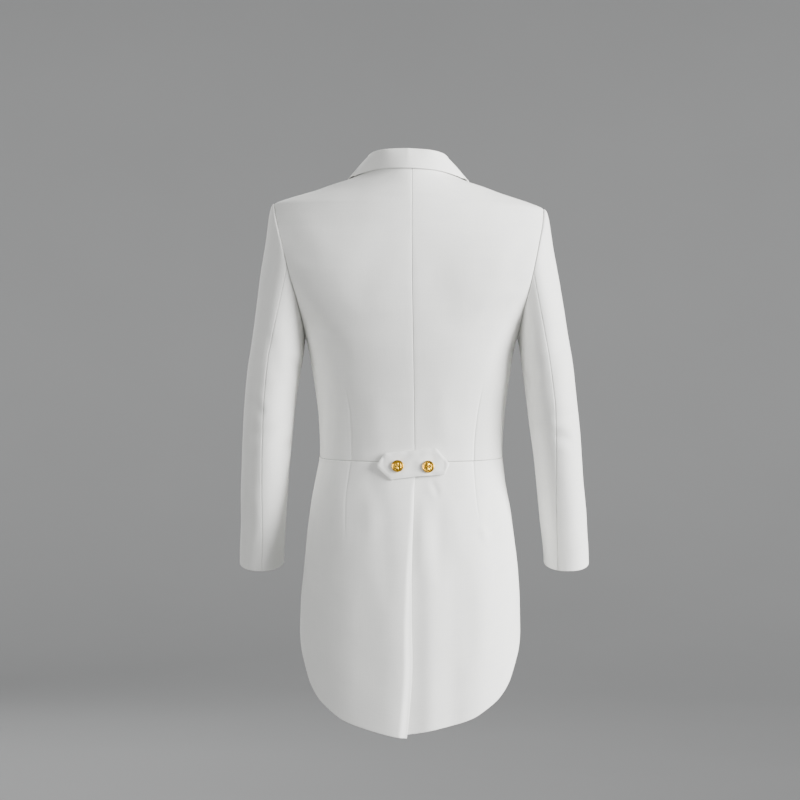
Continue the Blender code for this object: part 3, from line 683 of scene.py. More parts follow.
def sew(node, points, outward, wall, seams=None, free=()):
    """One piece of cloth that stands for a node: its mesh, wall, finish and measured cut."""
    edges = {side: wall / 2 for side in free}
    radii = {**(seams or {}), **edges}
    points = add_close_rows(points, radii)
    normal = normals(points, outward)
    outer_depth = turned_depth(points.shape[:2], radii)[..., None]
    inner_depth = wall - turned_depth(points.shape[:2], edges)[..., None]
    faces = closed_faces(*points.shape[:2])
    facing = np.cross(np.gradient(points, axis=1), np.gradient(points, axis=0))
    if (facing * normal).sum() < 0:
        faces = faces[:, ::-1]
    both = np.concatenate([points - normal * outer_depth, points - normal * inner_depth])
    mesh = bpy.data.meshes.new(node + "_cloth")
    mesh.from_pydata(both.reshape(-1, 3).tolist(), [], faces.tolist())
    pattern = np.tile(flat_pattern(points), (2, 1))
    corners = np.empty(len(mesh.loops), np.int32)
    mesh.loops.foreach_get("vertex_index", corners)
    layer = mesh.uv_layers.new(name="pattern")
    layer.data.foreach_set("uv", pattern[corners].astype(np.float32).ravel())
    mesh.materials.append(suiting)
    mesh.shade_smooth()
    piece = add_object(node + "_cloth", mesh)
    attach(piece, "root")
    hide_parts(node)
    width, length, area = measure(points)
    cut_sizes[node] = (round(width, 3), round(length, 3), round(area, 4))
    print(node, "rows x columns:", points.shape[:2], "cut:", cut_sizes[node])


# %% [markdown]
# ## Back panels
#
# The two backs meet at a seam down the spine and each has a dart, a pinch that is sewn shut and
# runs from the waist up towards the shoulder blade, to draw the cloth in at the waist. The
# columns of the grid are led along the dart, so that its thin line stays crisp. The cloth itself
# hangs almost smooth, so its creases are wide and less than two millimetres deep.

# %% Darts
DART_STEPS = np.array([-0.022, -0.011, -0.006, -0.0025, 0.0, 0.0025, 0.006, 0.011, 0.022])
DART_DEPTH = 0.0011
DART_WIDTH = 0.0011
DART_PINCH = 0.0016
DART_PINCH_WIDTH = 0.012
DART_FADE = 5.0  # the groove grows to its strength over a fifth of its length
DART_END_STRENGTH = 0.45
DART_CLEAR = 1.25 * DART_STEPS[-1]  # nearer than this, only the dart's own columns stand


def columns_round(count, place, edge_share=0.0):
    """Even shares across a piece, with close ones round a place that may differ from row to row,
    and twice as many up to the share edge_share."""
    fixed = float(np.mean(place))
    even = np.linspace(0.0, 1.0, count + 1)
    halves = even[:-1] + 0.5 / count
    even = np.concatenate([even, halves[halves < edge_share]])
    far = even[np.abs(even - fixed) > DART_CLEAR]
    shares = np.sort(np.concatenate([far, fixed + DART_STEPS]))[None, :]
    before = shares * place / fixed
    after = 1 - (1 - shares) * (1 - place) / (1 - fixed)
    return np.where(shares < fixed, before, after)


def dart_height(out, z, line_x, from_z, to_z):
    """The pinch of a dart: deepest at from_z, and gone at to_z."""
    share = np.clip((z - to_z) / (from_z - to_z), 0.0, 1.0)
    end_strength = DART_END_STRENGTH + (1 - DART_END_STRENGTH) * share
    strength = np.minimum(share * DART_FADE, 1.0) * end_strength
    inside = ((z - to_z) * (z - from_z) <= 0) | (share >= 1.0)
    beside = out - line_x
    groove = DART_DEPTH * np.exp(-((beside / DART_WIDTH) ** 2))
    pinch = DART_PINCH * share * np.exp(-((beside / DART_PINCH_WIDTH) ** 2))
    return -(groove * strength + pinch) * inside


print("columns beside a dart:", len(DART_STEPS))

# %% Back panel grid
BACK_DART = {
    "left": Table("z x", (-0.470, 0.0985), (-0.456, 0.0980), (-0.395, 0.1000), (-0.337, 0.1085)),
    "right": Table("z x", (-0.470, 0.1015), (-0.432, 0.1025), (-0.395, 0.1060), (-0.337, 0.1160)),
}
BACK_DART_TOP = {"left": -0.333, "right": -0.336}
BACK_CREASES = {
    "left": crease_list(
        (0.192, -0.215, 0.120, -0.262, 0.012, -0.0016, 0.006),
        (0.165, -0.246, 0.105, -0.318, 0.014, -0.0012, -0.008),
        (0.030, -0.085, 0.085, -0.225, 0.026, -0.0010, 0.010),
        (0.145, -0.330, 0.150, -0.452, 0.010, -0.0012, 0.003),
        (0.060, -0.360, 0.050, -0.455, 0.018, 0.0009, 0.004),
        (0.205, -0.075, 0.150, -0.150, 0.018, -0.0012, 0.010),
    ),
    "right": crease_list(
        (0.190, -0.200, 0.110, -0.240, 0.013, -0.0014, -0.007),
        (0.168, -0.255, 0.125, -0.335, 0.012, -0.0013, 0.006),
        (0.035, -0.110, 0.075, -0.260, 0.028, -0.0010, -0.009),
        (0.140, -0.345, 0.146, -0.456, 0.011, -0.0010, -0.003),
        (0.052, -0.345, 0.060, -0.450, 0.016, 0.0008, -0.005),
        (0.200, -0.090, 0.160, -0.185, 0.016, -0.0010, -0.008),
    ),
}
BACK_FADE = 25.0
SEAM_ROLL = 0.0012
CLOTH_WALL = 0.0016


def back_grid(name, across=56, below=64, beside=64, above=16, neck=8):
    """A back panel, from the waist to the neck seam and from the centre seam to its outer edge."""
    side = SIDES[name]
    levels = np.concatenate(
        [
            np.linspace(WAIST_Z + SEAM / 2, UNDERARM_Z, below + 1)[:-1],
            levels_beside_arm(beside)[:-1],
            np.linspace(SHOULDER_Z, SHOULDER_TOP_Z, above + 1),
        ]
    )[:, None]
    first = turn_of("back", side * CENTRE("x", levels) + SEAM / 2, levels)
    last = edge_turn("back", levels)
    place = (turn_of("back", BACK_DART[name]("x", levels), levels) - first) / (last - first)
    dart_foot = place[levels[:, 0] < BACK_DART_TOP[name]]
    place = np.where(levels < BACK_DART_TOP[name], place, dart_foot[-1])
    share = columns_round(across, place)
    top_share = share[-1:]
    top = NECK_Z - NECK_DROP * top_share**2
    foot_rise = waist_rise(first[0] + (math.pi / 2 - first[0]) * share)
    rows = levels + foot_rise * np.clip((UNDERARM_Z - levels) / (UNDERARM_Z - WAIST_Z), 0.0, 1.0)
    neck_way = np.linspace(0.0, 1.0, neck + 1)[1:, None]
    z = np.concatenate([rows, levels[-1] + (top - levels[-1]) * neck_way])
    share = np.concatenate([share, np.broadcast_to(top_share, (neck, share.shape[1]))])
    first = turn_of("back", side * CENTRE("x", z) + SEAM / 2, z)
    turn = first + (edge_turn("back", z) - first) * share
    points = on_form("back", turn, z)
    out = points[..., 0].copy()
    height = crease_height(out, z, BACK_CREASES[name])
    height += dart_height(out, z, BACK_DART[name]("x", z), WAIST_Z, BACK_DART_TOP[name])
    points[..., 0] *= side
    return pressed(lean(points), (0, 1, 0), height * edge_fade(share, BACK_FADE))


ALL_SEAMS = {side: SEAM_ROLL for side in SIDE_NAMES}

for name in SIDES:
    sew("back_" + name, back_grid(name), (0, 1, 0), CLOTH_WALL, ALL_SEAMS)

# %% [markdown]
# ## Fronts
#
# The fronts hang open, as they do on a dress tailcoat, whose edges never meet. Each runs from
# the shoulder seam to a hem just below the waist, lower at its front corner.

# %% Front grid
LEVEL_Z = -0.43
HEM_SIDE_Z = -0.458
HEM_POINT_Z = -0.490
HEM_RISE_SHARE = 0.6
NECK_ROWS = 5
FRONT_FADE = 20.0
FRONT_CREASES = {
    "left": crease_list(
        (0.165, -0.235, 0.095, -0.300, 0.013, -0.0016, 0.007),
        (0.150, -0.290, 0.085, -0.380, 0.014, -0.0013, -0.006),
        (0.140, -0.350, 0.120, -0.455, 0.012, -0.0012, 0.004),
        (0.190, -0.110, 0.150, -0.190, 0.014, -0.0012, 0.006),
    ),
    "right": crease_list(
        (0.168, -0.225, 0.100, -0.280, 0.012, -0.0015, -0.006),
        (0.148, -0.300, 0.090, -0.400, 0.015, -0.0014, 0.008),
        (0.142, -0.365, 0.128, -0.452, 0.010, -0.0012, -0.003),
        (0.192, -0.120, 0.158, -0.205, 0.014, -0.0011, -0.006),
    ),
}


def front_grid(name, across=56, foot_rows=12, below=48, beside=56, above=16):
    """A front from its hem to the neck, and from its open edge to its outer edge."""
    side = SIDES[name]
    share = np.linspace(0.0, 1.0, across + 1)[None, :]
    hem = HEM_POINT_Z + (HEM_SIDE_Z - HEM_POINT_Z) * smooth_step(share / HEM_RISE_SHARE)
    foot = hem + (LEVEL_Z - hem) * np.linspace(0.0, 1.0, foot_rows)[:, None]
    levels = np.concatenate(
        [
            np.linspace(LEVEL_Z, UNDERARM_Z, below + 1)[1:-1],
            levels_beside_arm(beside)[:-1],
            np.linspace(SHOULDER_Z, SHOULDER_TOP_Z, above + 1),
            np.linspace(SHOULDER_TOP_Z, FRONT_NECK_Z, NECK_ROWS)[1:],
        ]
    )[:, None]
    z = np.concatenate([foot, np.broadcast_to(levels, (len(levels), share.size))])
    first = turn_of("front", FRONT_EDGE("x", z), z)
    turn = first + (edge_turn("front", z) - first) * share
    points = on_form("front", turn, z)
    height = crease_height(points[..., 0].copy(), z, FRONT_CREASES[name])
    points[..., 0] *= side
    return pressed(lean(points), (0, -1, 0), height * edge_fade(share, FRONT_FADE))


FRONT_SEAMS = {"last_column": SEAM_ROLL, "last_row": SEAM_ROLL}
FRONT_FREE = ("first_column", "first_row")

for name in SIDES:
    grid = front_grid(name)
    sew("front_" + name, grid, (0, -1, 0), CLOTH_WALL, FRONT_SEAMS, FRONT_FREE)

# %% [markdown]
# ## Lapels
#
# A peak lapel is the upper part of the front turned back over itself. It starts at the roll line,
# stands a little off the front there, and lies down towards its outer edge. Its top edge runs out
# to a point. It is made from points of the front's form, moved out along their normals.

# %% Lapel grid
LAPEL_WIDTH = Table(
    "up width",
    (0.00, 0.006),
    (0.20, 0.036),
    (0.45, 0.066),
    (0.75, 0.086),
    (1.00, 0.098),
)
LAPEL_TOP = Table(
    "out z",
    (0.00, -0.0583),
    (0.42, -0.0788),
    (0.70, -0.0783),
    (1.00, -0.0618),
)
LAPEL_FOOT_Z = -0.405
LAPEL_LIFT = 0.0012
LAPEL_WALL = 0.0014
ROLL_OVER = 0.0010
LAPEL_ROLL = 0.0038
ROLL_SHARE = 0.5
LAPEL_CREASE_SHARE = 0.6  # how much of the front's creases shows through


def lapel_grid(name, across=32, up=96):
    """A lapel that lies on the front, from the roll to its outer edge."""
    side = SIDES[name]
    out = np.linspace(0.0, 1.0, across + 1)[None, :]
    way = np.linspace(0.0, 1.0, up + 1)[:, None]
    z = LAPEL_FOOT_Z + (LAPEL_TOP("z", out) - LAPEL_FOOT_Z) * way
    x = FRONT_EDGE("x", z) - ROLL_OVER + out * LAPEL_WIDTH("width", way)
    points = on_form("front", turn_of("front", x, z), z)
    height = crease_height(points[..., 0], z, FRONT_CREASES[name])
    lift = LAPEL_LIFT + LAPEL_WALL + LAPEL_ROLL * (1 - smooth_step(out / ROLL_SHARE)) + 0 * z
    points[..., 0] *= side
    return pressed(lean(points), (0, -1, 0), lift + LAPEL_CREASE_SHARE * height)


for name in SIDES:
    grid = lapel_grid(name)
    sew("lapel_" + name, grid, (0, -1, 0), LAPEL_WALL, free=SIDE_NAMES)

# %% [markdown]
# ## Collar
#
# The collar is one piece that climbs the neck as the stand, folds over, and falls back onto the
# coat. Its rows run from the neck seam up the stand, round the fold in a small half circle, and
# down the fall to its outer edge, which meets the lapels in front.

# %% Collar grid
COLLAR = Table(
    "way fold_x fold_y fold_z edge_x edge_z",
    (0.00, 0.0000, 0.0560, 0.0445, 0.0000, 0.0118),
    (0.20, 0.0300, 0.0510, 0.0435, 0.0400, 0.0108),
    (0.42, 0.0545, 0.0290, 0.0400, 0.0770, 0.0054),
    (0.60, 0.0625, 0.0000, 0.0330, 0.0975, 0.0003),
    (0.76, 0.0622, -0.0330, 0.0120, 0.1050, -0.0120),
    (0.90, 0.0622, -0.0660, -0.0210, 0.1065, -0.0440),
    (1.00, 0.0630, -0.0830, -0.0550, 0.1040, -0.0752),
)
COLLAR_TURN = 0.60
COLLAR_HEIGHT = 0.0027
COLLAR_OUT = 0.0022
COLLAR_WALL = 0.0016
STAND_GAP = 0.0010
STAND_INSIDE = 0.0028
COLLAR_END_Z = -0.0560
COLLAR_FOLD = 0.0026
FOOT_CROSSING = 0.12
EDGE_CROSSING = 0.20
CREST_CROSSING = 0.30


def crossing(way, width):
    """0 on the collar's back part and 1 on its front part, with a soft way over the shoulder."""
    return smooth_step((way - COLLAR_TURN) / width + 0.5)


def neck_edge(way):
    """The coat's neck edge from the centre back (0) to the collar's front end (1), on the left."""
    back_way = np.clip(way / COLLAR_TURN, 0.0, 1.0)
    back = on_form("back", back_way * math.pi / 2, NECK_Z - NECK_DROP * back_way**2)
    front_way = np.clip((way - COLLAR_TURN) / (1 - COLLAR_TURN), 0.0, 1.0)
    z = FRONT_NECK_Z + (COLLAR_END_Z - FRONT_NECK_Z) * front_way
    front = on_form("front", turn_of("front", FRONT_EDGE("x", z), z), z)
    return back + (front - back) * crossing(way, FOOT_CROSSING)[..., None]


def collar_edge(way):
    """The collar's outer edge, a little above and outside the coat, on the left."""
    x, z = COLLAR("edge_x", way), COLLAR("edge_z", way)
    under = z - COLLAR_HEIGHT
    ends = []
    for face, out in (("back", COLLAR_OUT), ("front", -COLLAR_OUT)):
        y = on_form(face, turn_of(face, x, under), under)[..., 1]
        ends.append(y + out * np.minimum(2 * np.abs(way - COLLAR_TURN) / EDGE_CROSSING, 1.0))
    return stack(x, np.where(way < COLLAR_TURN, *ends), z)


def collar_grid(along=140, up=9, round_fold=8, down=18):
    """The collar as one folded piece: up the stand, over the fold and down the fall."""
    ways = np.linspace(-1.0, 1.0, along + 1)
    way, side = np.abs(ways), np.where(ways < 0, 1.0, -1.0)
    edge = collar_edge(way)
    fold = stack(*(COLLAR("fold_" + axis, way) for axis in "xyz"))
    foot = neck_edge(way)
    front = crossing(way, CREST_CROSSING)[:, None]
    inward = -foot * np.array([1.0, 1.0, 0.0])
    inward[:, 1:2] *= 1 - front
    inward /= np.linalg.norm(inward, axis=-1, keepdims=True)
    foot = foot + inward * STAND_INSIDE + np.array([0.0, 0.0, STAND_GAP])
    crest = np.concatenate([0 * front, -front, 1 - front], axis=1)
    crest = COLLAR_FOLD * crest / np.linalg.norm(crest, axis=-1, keepdims=True)
    across = -COLLAR_FOLD * inward
    rise = fold - crest
    rows = [foot + (rise - foot) * share for share in np.linspace(0.0, 1.0, up + 1)]
    for turn in np.linspace(0.0, math.pi, round_fold + 2)[1:-1]:
        rows.append(rise + across * (1 - math.cos(turn)) + crest * math.sin(turn))
    start = rise + 2 * across
    for share in np.linspace(0.0, 1.0, down + 1):
        rows.append(start + (edge - start) * share + crest * math.sin(math.pi * share))
    points = np.stack(rows)
    points[..., 0] *= side
    return lean(points)


COLLAR_FREE = ("first_column", "last_column", "last_row")

sew("collar", collar_grid(), (0, 0, 1), COLLAR_WALL, free=COLLAR_FREE)

# %% [markdown]
# ## Sleeves
#
# A tailored sleeve has two pieces, a wide upper and a narrow under one, joined by a seam down the
# back of the arm and one down its inside. It is a bent tube: nearly round at the elbow and
# flatter at the cuff. At the top it is eased into the armhole, so its head stands a few
# millimetres proud of the shoulder and then falls almost straight.

# %% Sleeve rings
SLEEVE = Table(
    "z left_outer left_inner right_outer right_inner middle depth left_seam right_seam",
    (-0.290, 0.2665, 0.1780, 0.2632, 0.1793, 0.000, 0.0780, 0.0090, 0.0004),
    (-0.315, 0.2700, 0.1825, 0.2665, 0.1825, 0.001, 0.0755, 0.0080, 0.0008),
    (-0.365, 0.2750, 0.1906, 0.2718, 0.1895, 0.000, 0.0720, 0.0062, 0.0010),
    (-0.414, 0.2785, 0.1960, 0.2778, 0.1958, -0.006, 0.0690, 0.0045, -0.0020),
    (-0.464, 0.2807, 0.2012, 0.2822, 0.2029, -0.016, 0.0650, 0.0030, -0.0058),
    (-0.514, 0.2828, 0.2053, 0.2867, 0.2086, -0.028, 0.0600, 0.0012, -0.0095),
    (-0.565, 0.2836, 0.2089, 0.2911, 0.2143, -0.040, 0.0550, -0.0005, -0.0125),
    (-0.624, 0.2866, 0.2126, 0.2952, 0.2212, -0.054, 0.0505, -0.0022, -0.0148),
    (-0.650, 0.2872, 0.2134, 0.2962, 0.2222, -0.059, 0.0500, -0.0025, -0.0150),
)
SLEEVE_HEAD = Table(
    "share out",
    (0.000, 0.0000),
    (0.002, 0.0018),
    (0.012, 0.0036),
    (0.035, 0.0048),
    (0.080, 0.0053),
    (0.160, 0.0045),
    (0.300, 0.0035),
    (0.500, 0.0034),
    (0.700, 0.0022),
    (0.900, 0.0005),
    (1.000, 0.0000),
)
SLEEVE_ROUND = 2.15
FRONT_SEAM_TURN = math.radians(-120)
BACK_SEAM_TURN = math.radians(90)
SLEEVE_RADIUS = 0.055
HEAD_FADE = 0.8
CAP_Z = -0.290
CUFF_Z = -0.636
ELBOW_Z = -0.400
CUFF_TILT = 0.24
SLEEVE_SEAM = 0.0004
CAP_START = np.array([0.0, 0.002, 0.005, 0.009, 0.014, 0.022, 0.035, 0.055])
CAP_EVEN_FROM = 0.08
ARMHOLE_FADE = 8.0
print("sleeve rings:", len(SLEEVE.at))


def armhole(turn, side):
    """A point of the armhole, with the turn 0 at its top, above 0 down its back, below 0 in front."""
    z = ARM_MIDDLE_Z + ARM_HALF * np.cos(turn)
    back = on_form("back", edge_turn("back", z), z)
    front = on_form("front", edge_turn("front", z), z)
    points = np.where((np.sin(turn) >= 0)[..., None], back, front)
    points[..., 0] *= side
    return lean(points)


def sleeve_ring(name, turn, z):
    """A ring of a sleeve, with the turn 0 outside, positive towards the back."""
    side = SIDES[name]
    outer, inner = SLEEVE(name + "_outer", z), SLEEVE(name + "_inner", z)
    power = 2 / SLEEVE_ROUND
    cosine, sine = np.cos(turn), np.sin(turn)
    x = (outer + inner) / 2 + (outer - inner) / 2 * np.sign(cosine) * np.abs(cosine) ** power
    reach = SLEEVE("depth", z) * np.sign(sine) * np.abs(sine) ** power
    tilt = CUFF_TILT * smooth_step((ELBOW_Z - z) / (ELBOW_Z - CUFF_Z))
    return stack(side * x, SLEEVE("middle", z) + reach, z - tilt * reach)


def seam_turn(name, z):
    """Where a sleeve's back seam lies on a ring."""
    half = (SLEEVE(name + "_outer", z) - SLEEVE(name + "_inner", z)) / 2
    return np.arccos(SLEEVE(name + "_seam", z) / half)


# %% Sleeve creases
# Out is measured round the sleeve from its outside, positive towards the back.
SLEEVE_CREASES = {
    "left": crease_list(
        (0.030, -0.365, 0.085, -0.392, 0.009, -0.0016, 0.004),
        (0.045, -0.420, 0.110, -0.408, 0.010, -0.0018, -0.005),
        (-0.020, -0.392, -0.080, -0.430, 0.011, -0.0020, 0.006),
        (-0.040, -0.455, -0.095, -0.440, 0.010, -0.0018, -0.004),
        (0.115, -0.300, 0.165, -0.335, 0.011, -0.0018, 0.006),
        (0.060, -0.250, 0.095, -0.335, 0.014, -0.0013, 0.008),
        (0.000, -0.150, -0.015, -0.320, 0.022, -0.0011, 0.012),
        (0.030, -0.505, 0.060, -0.600, 0.013, -0.0012, 0.006),
        (-0.060, -0.520, -0.030, -0.605, 0.014, -0.0013, -0.006),
        (0.120, -0.445, 0.170, -0.425, 0.011, -0.0019, -0.005),
    ),
    "right": crease_list(
        (0.035, -0.378, 0.095, -0.400, 0.010, -0.0016, -0.004),
        (0.050, -0.438, 0.105, -0.424, 0.009, -0.0015, 0.005),
        (-0.025, -0.402, -0.085, -0.436, 0.012, -0.0019, -0.006),
        (-0.045, -0.468, -0.100, -0.455, 0.010, -0.0017, 0.004),
        (0.110, -0.310, 0.160, -0.350, 0.012, -0.0018, -0.006),
        (0.055, -0.240, 0.090, -0.330, 0.015, -0.0012, -0.008),
        (0.005, -0.170, -0.010, -0.345, 0.022, -0.0011, -0.012),
        (0.025, -0.495, 0.055, -0.585, 0.013, -0.0012, -0.006),
        (-0.055, -0.515, -0.025, -0.600, 0.014, -0.0012, 0.006),
        (0.125, -0.430, 0.172, -0.415, 0.011, -0.0018, 0.005),
    ),
}


def sleeve_grid(name, upper, across, cap_rows=44, below=84):
    """The upper or the under sleeve, from the armhole to the cuff."""
    side = SIDES[name]
    shares = np.concatenate([CAP_START, np.linspace(CAP_EVEN_FROM, 1.0, cap_rows)[:-1]])
    z = np.linspace(CAP_Z, CUFF_Z, below + 1)
    at_cap = seam_turn(name, CAP_Z)
    back = np.concatenate([BACK_SEAM_TURN + (at_cap - BACK_SEAM_TURN) * shares, seam_turn(name, z)])
    front = np.full(back.shape, FRONT_SEAM_TURN)
    first, last = (front, back) if upper else (back, front + 2 * math.pi)
    inset = SLEEVE_SEAM / 2 / SLEEVE_RADIUS
    first, last = first + inset, last - inset
    turn = first[:, None] + (last - first)[:, None] * np.linspace(0.0, 1.0, across + 1)[None, :]
    cap, arm = turn[: len(shares)], turn[len(shares) :]
    start = armhole(cap, side)
    start[..., 0] += side * SEAM
    end = sleeve_ring(name, cap, np.full(cap.shape, CAP_Z))
    way = shares[:, None, None]
    head = SLEEVE_HEAD("out", shares)[:, None] * np.cos(cap).clip(0.0) ** HEAD_FADE
    bulge = stack(side * np.cos(cap) * head, np.sin(cap) * head, 0.0 * head)
    head_rows = start + (end - start) * way + bulge
    points = np.concatenate([head_rows, sleeve_ring(name, arm, z[:, None] + 0 * arm)])
    round_out = turn * SLEEVE_RADIUS
    height = crease_height(round_out, points[..., 2], SLEEVE_CREASES[name])
    if not upper:
        once_round = round_out - 2 * math.pi * SLEEVE_RADIUS
        height = height + crease_height(once_round, points[..., 2], SLEEVE_CREASES[name])
    from_armhole = np.concatenate([shares, np.ones(len(z))])[:, None]
    outward = (side, 0, 0) if upper else (-side, 0, 0)
    return pressed(points, outward, height * smooth_step(from_armhole * ARMHOLE_FADE))


SLEEVE_SEAMS = {"first_column": SEAM_ROLL, "last_column": SEAM_ROLL}

for name, side in SIDES.items():
    for layer, upper, across, outward in (
        ("upper", True, 64, (side, 0, 0)),
        ("under", False, 44, (-side, 0, 0)),
    ):
        node = "sleeve_" + layer + "_" + name
        grid = sleeve_grid(name, upper, across)
        sew(node, grid, outward, CLOTH_WALL, SLEEVE_SEAMS, ("last_row",))

# %% [markdown]
# ## Tails
#
# Two tails hang from the waist seam over the hips. The left one laps over the right one at the
# centre vent. Beside its free edge its cloth swells out, more towards the foot, and then turns
# down softly to the edge. A short dart under the seam takes up fullness, and below it the cloth
# falls in a few very shallow upright folds.

# %% Tail form
TAIL = Table(
    "z left right back middle",
    (-0.465, 0.1518, 0.1512, 0.0800, -0.012),
    (-0.497, 0.1585, 0.1548, 0.0865, -0.011),
    (-0.546, 0.1668, 0.1632, 0.1000, -0.009),
    (-0.596, 0.1728, 0.1695, 0.1120, -0.007),
    (-0.645, 0.1775, 0.1755, 0.1205, -0.004),
    (-0.695, 0.1822, 0.1782, 0.1260, -0.001),
    (-0.745, 0.1832, 0.1785, 0.1295, 0.002),
    (-0.920, 0.1830, 0.1785, 0.1365, 0.006),
)
TAIL_ROUND = 2.3
TAIL_FRONT = -0.105
TAIL_WRAP = math.radians(106)
TAIL_CORNER = math.radians(90)
TAIL_SWEEP = 1.5
TAIL_HEM = Table(
    "degrees z",
    (-4.0, -0.9060),
    (0.0, -0.9045),
    (18.6, -0.8915),
    (34.0, -0.8775),
    (43.3, -0.8630),
    (52.0, -0.8480),
    (58.0, -0.8340),
    (63.4, -0.8190),
    (67.6, -0.8045),
    (72.7, -0.7885),
    (79.4, -0.7700),
    (90.0, -0.7300),
)
VENT = Table(
    "z x",
    (-0.465, -0.0055),
    (-0.546, -0.0028),
    (-0.600, -0.0010),
    (-0.660, 0.0005),
    (-0.713, 0.0005),
    (-0.779, -0.0008),
    (-0.870, 0.0045),
    (-0.910, 0.0088),
)
FOLDS = (
    {"x": -0.028, "half": 0.016, "height": 0.0020, "from_z": -0.52, "full_z": -0.62},
    {"x": -0.066, "half": 0.018, "height": -0.0023, "from_z": -0.53, "full_z": -0.66},
    {"x": -0.112, "half": 0.022, "height": 0.0018, "from_z": -0.56, "full_z": -0.72},
    {"x": 0.052, "half": 0.020, "height": -0.0004, "from_z": -0.55, "full_z": -0.72},
    {"x": 0.098, "half": 0.024, "height": 0.0006, "from_z": -0.54, "full_z": -0.70},
)
UNDERLAP = 0.028
LAP_LIFT = 0.0028
LAP_FROM_X = 0.034
LAP_TO_X = 0.066
LAP_LOW_TO_X = 0.125  # lower down the lifted cloth falls back more slowly
LAP_LOW_Z = (-0.480, -0.600)
EDGE_FOLD = 0.0050  # beside the vent the left tail swells this far, then turns down to its edge
EDGE_FOLD_START = 0.3  # the share of that just under the tab
EDGE_FOLD_FROM = 0.003  # how far from its edge the swell is highest, at the waist
EDGE_FOLD_TO = 0.014  # and towards the foot
EDGE_FOLD_FADE = 0.075
EDGE_FOLD_TOP_Z = -0.47
EDGE_FOLD_UNDER_TAB_Z = (-0.487, -0.515)
EDGE_FOLD_FULL_Z = -0.80
RIGHT_TAIL_RISE = 0.0035
TAIL_FOOT_Z = -0.90
VENT_SHARE = 0.22  # up to this share across, a tail has twice as many columns
TAIL_FADE = 16.0
print("tail rings:", len(TAIL.at), "folds:", len(FOLDS))


def tail_form(name, turn, z):
    """Points of a tail's form, with the turn 0 at the centre back."""
    roundness = 2 / TAIL_ROUND
    sine, cosine = np.sin(turn), np.cos(turn)
    x = TAIL(name, z) * np.sign(sine) * np.abs(sine) ** roundness
    middle = TAIL("middle", z)
    depth = np.where(cosine >= 0, TAIL("back", z) - middle, middle - TAIL_FRONT)
    y = middle + depth * np.sign(cosine) * np.abs(cosine) ** roundness
    x = SIDES[name] * x
    for fold in FOLDS:
        grown = smooth_step((z - fold["from_z"]) / (fold["full_z"] - fold["from_z"]))
        shape = np.exp(-(((x - fold["x"]) / fold["half"]) ** 2))
        y = y + fold["height"] * grown * shape * (cosine > 0)
    return stack(x, y, z)


def tail_turn(name, x, z):
    """The turn at which a tail's form is x wide."""
    return np.sign(x) * np.arcsin((np.abs(x) / TAIL(name, z)) ** (TAIL_ROUND / 2))


# %% Tail grid
TAIL_DART = {
    "left": Table("z x", (-0.465, 0.0995), (-0.492, 0.1035), (-0.530, 0.1075), (-0.590, 0.1080)),
    "right": Table("z x", (-0.465, 0.1010), (-0.500, 0.1030), (-0.530, 0.1055), (-0.592, 0.1160)),
}
TAIL_DART_FOOT = {"left": -0.592, "right": -0.560}
TAIL_DART_SHARE = {"left": 0.5, "right": 0.8}  # these darts are pressed flatter than the back's
TAIL_CREASES = {
    "left": crease_list(
        (0.042, -0.520, 0.036, -0.700, 0.015, -0.0007, 0.004),
        (0.128, -0.500, 0.140, -0.640, 0.013, -0.0012, 0.005),
        (0.075, -0.500, 0.068, -0.600, 0.012, 0.0007, -0.004),
    ),
    "right": crease_list(
        (0.030, -0.494, 0.044, -0.522, 0.0050, -0.0009, 0.001),
        (0.016, -0.520, 0.012, -0.650, 0.011, 0.0010, 0.002),
        (0.048, -0.520, 0.044, -0.660, 0.013, -0.0014, -0.003),
        (0.112, -0.568, 0.122, -0.596, 0.006, 0.0012, 0.001),
        (0.132, -0.500, 0.146, -0.660, 0.013, -0.0013, -0.005),
        (0.085, -0.620, 0.090, -0.800, 0.016, -0.0013, 0.004),
    ),
}


def lapped_edge(out, vent, z, behind):
    """How far the left tail stands off its form: lifted over the right one, swollen at the vent."""
    lower = smooth_step((z - LAP_LOW_Z[0]) / (LAP_LOW_Z[1] - LAP_LOW_Z[0]))
    lap_to = LAP_TO_X + (LAP_LOW_TO_X - LAP_TO_X) * lower
    lap = LAP_LIFT * smooth_step((lap_to - out) / (lap_to - LAP_FROM_X))
    grown = smooth_step((z - EDGE_FOLD_TOP_Z) / (EDGE_FOLD_FULL_Z - EDGE_FOLD_TOP_Z))
    ridge = EDGE_FOLD_FROM + (EDGE_FOLD_TO - EDGE_FOLD_FROM) * grown
    beyond = smooth_step(1.0 - (out - vent - ridge) / EDGE_FOLD_FADE)
    start_z, end_z = EDGE_FOLD_UNDER_TAB_Z
    size = EDGE_FOLD_START * smooth_step((z - start_z) / (end_z - start_z))
    size = size + (1 - EDGE_FOLD_START) * grown
    swell = EDGE_FOLD * size * smooth_step((out - vent) / ridge) * beyond
    return lap * behind + swell


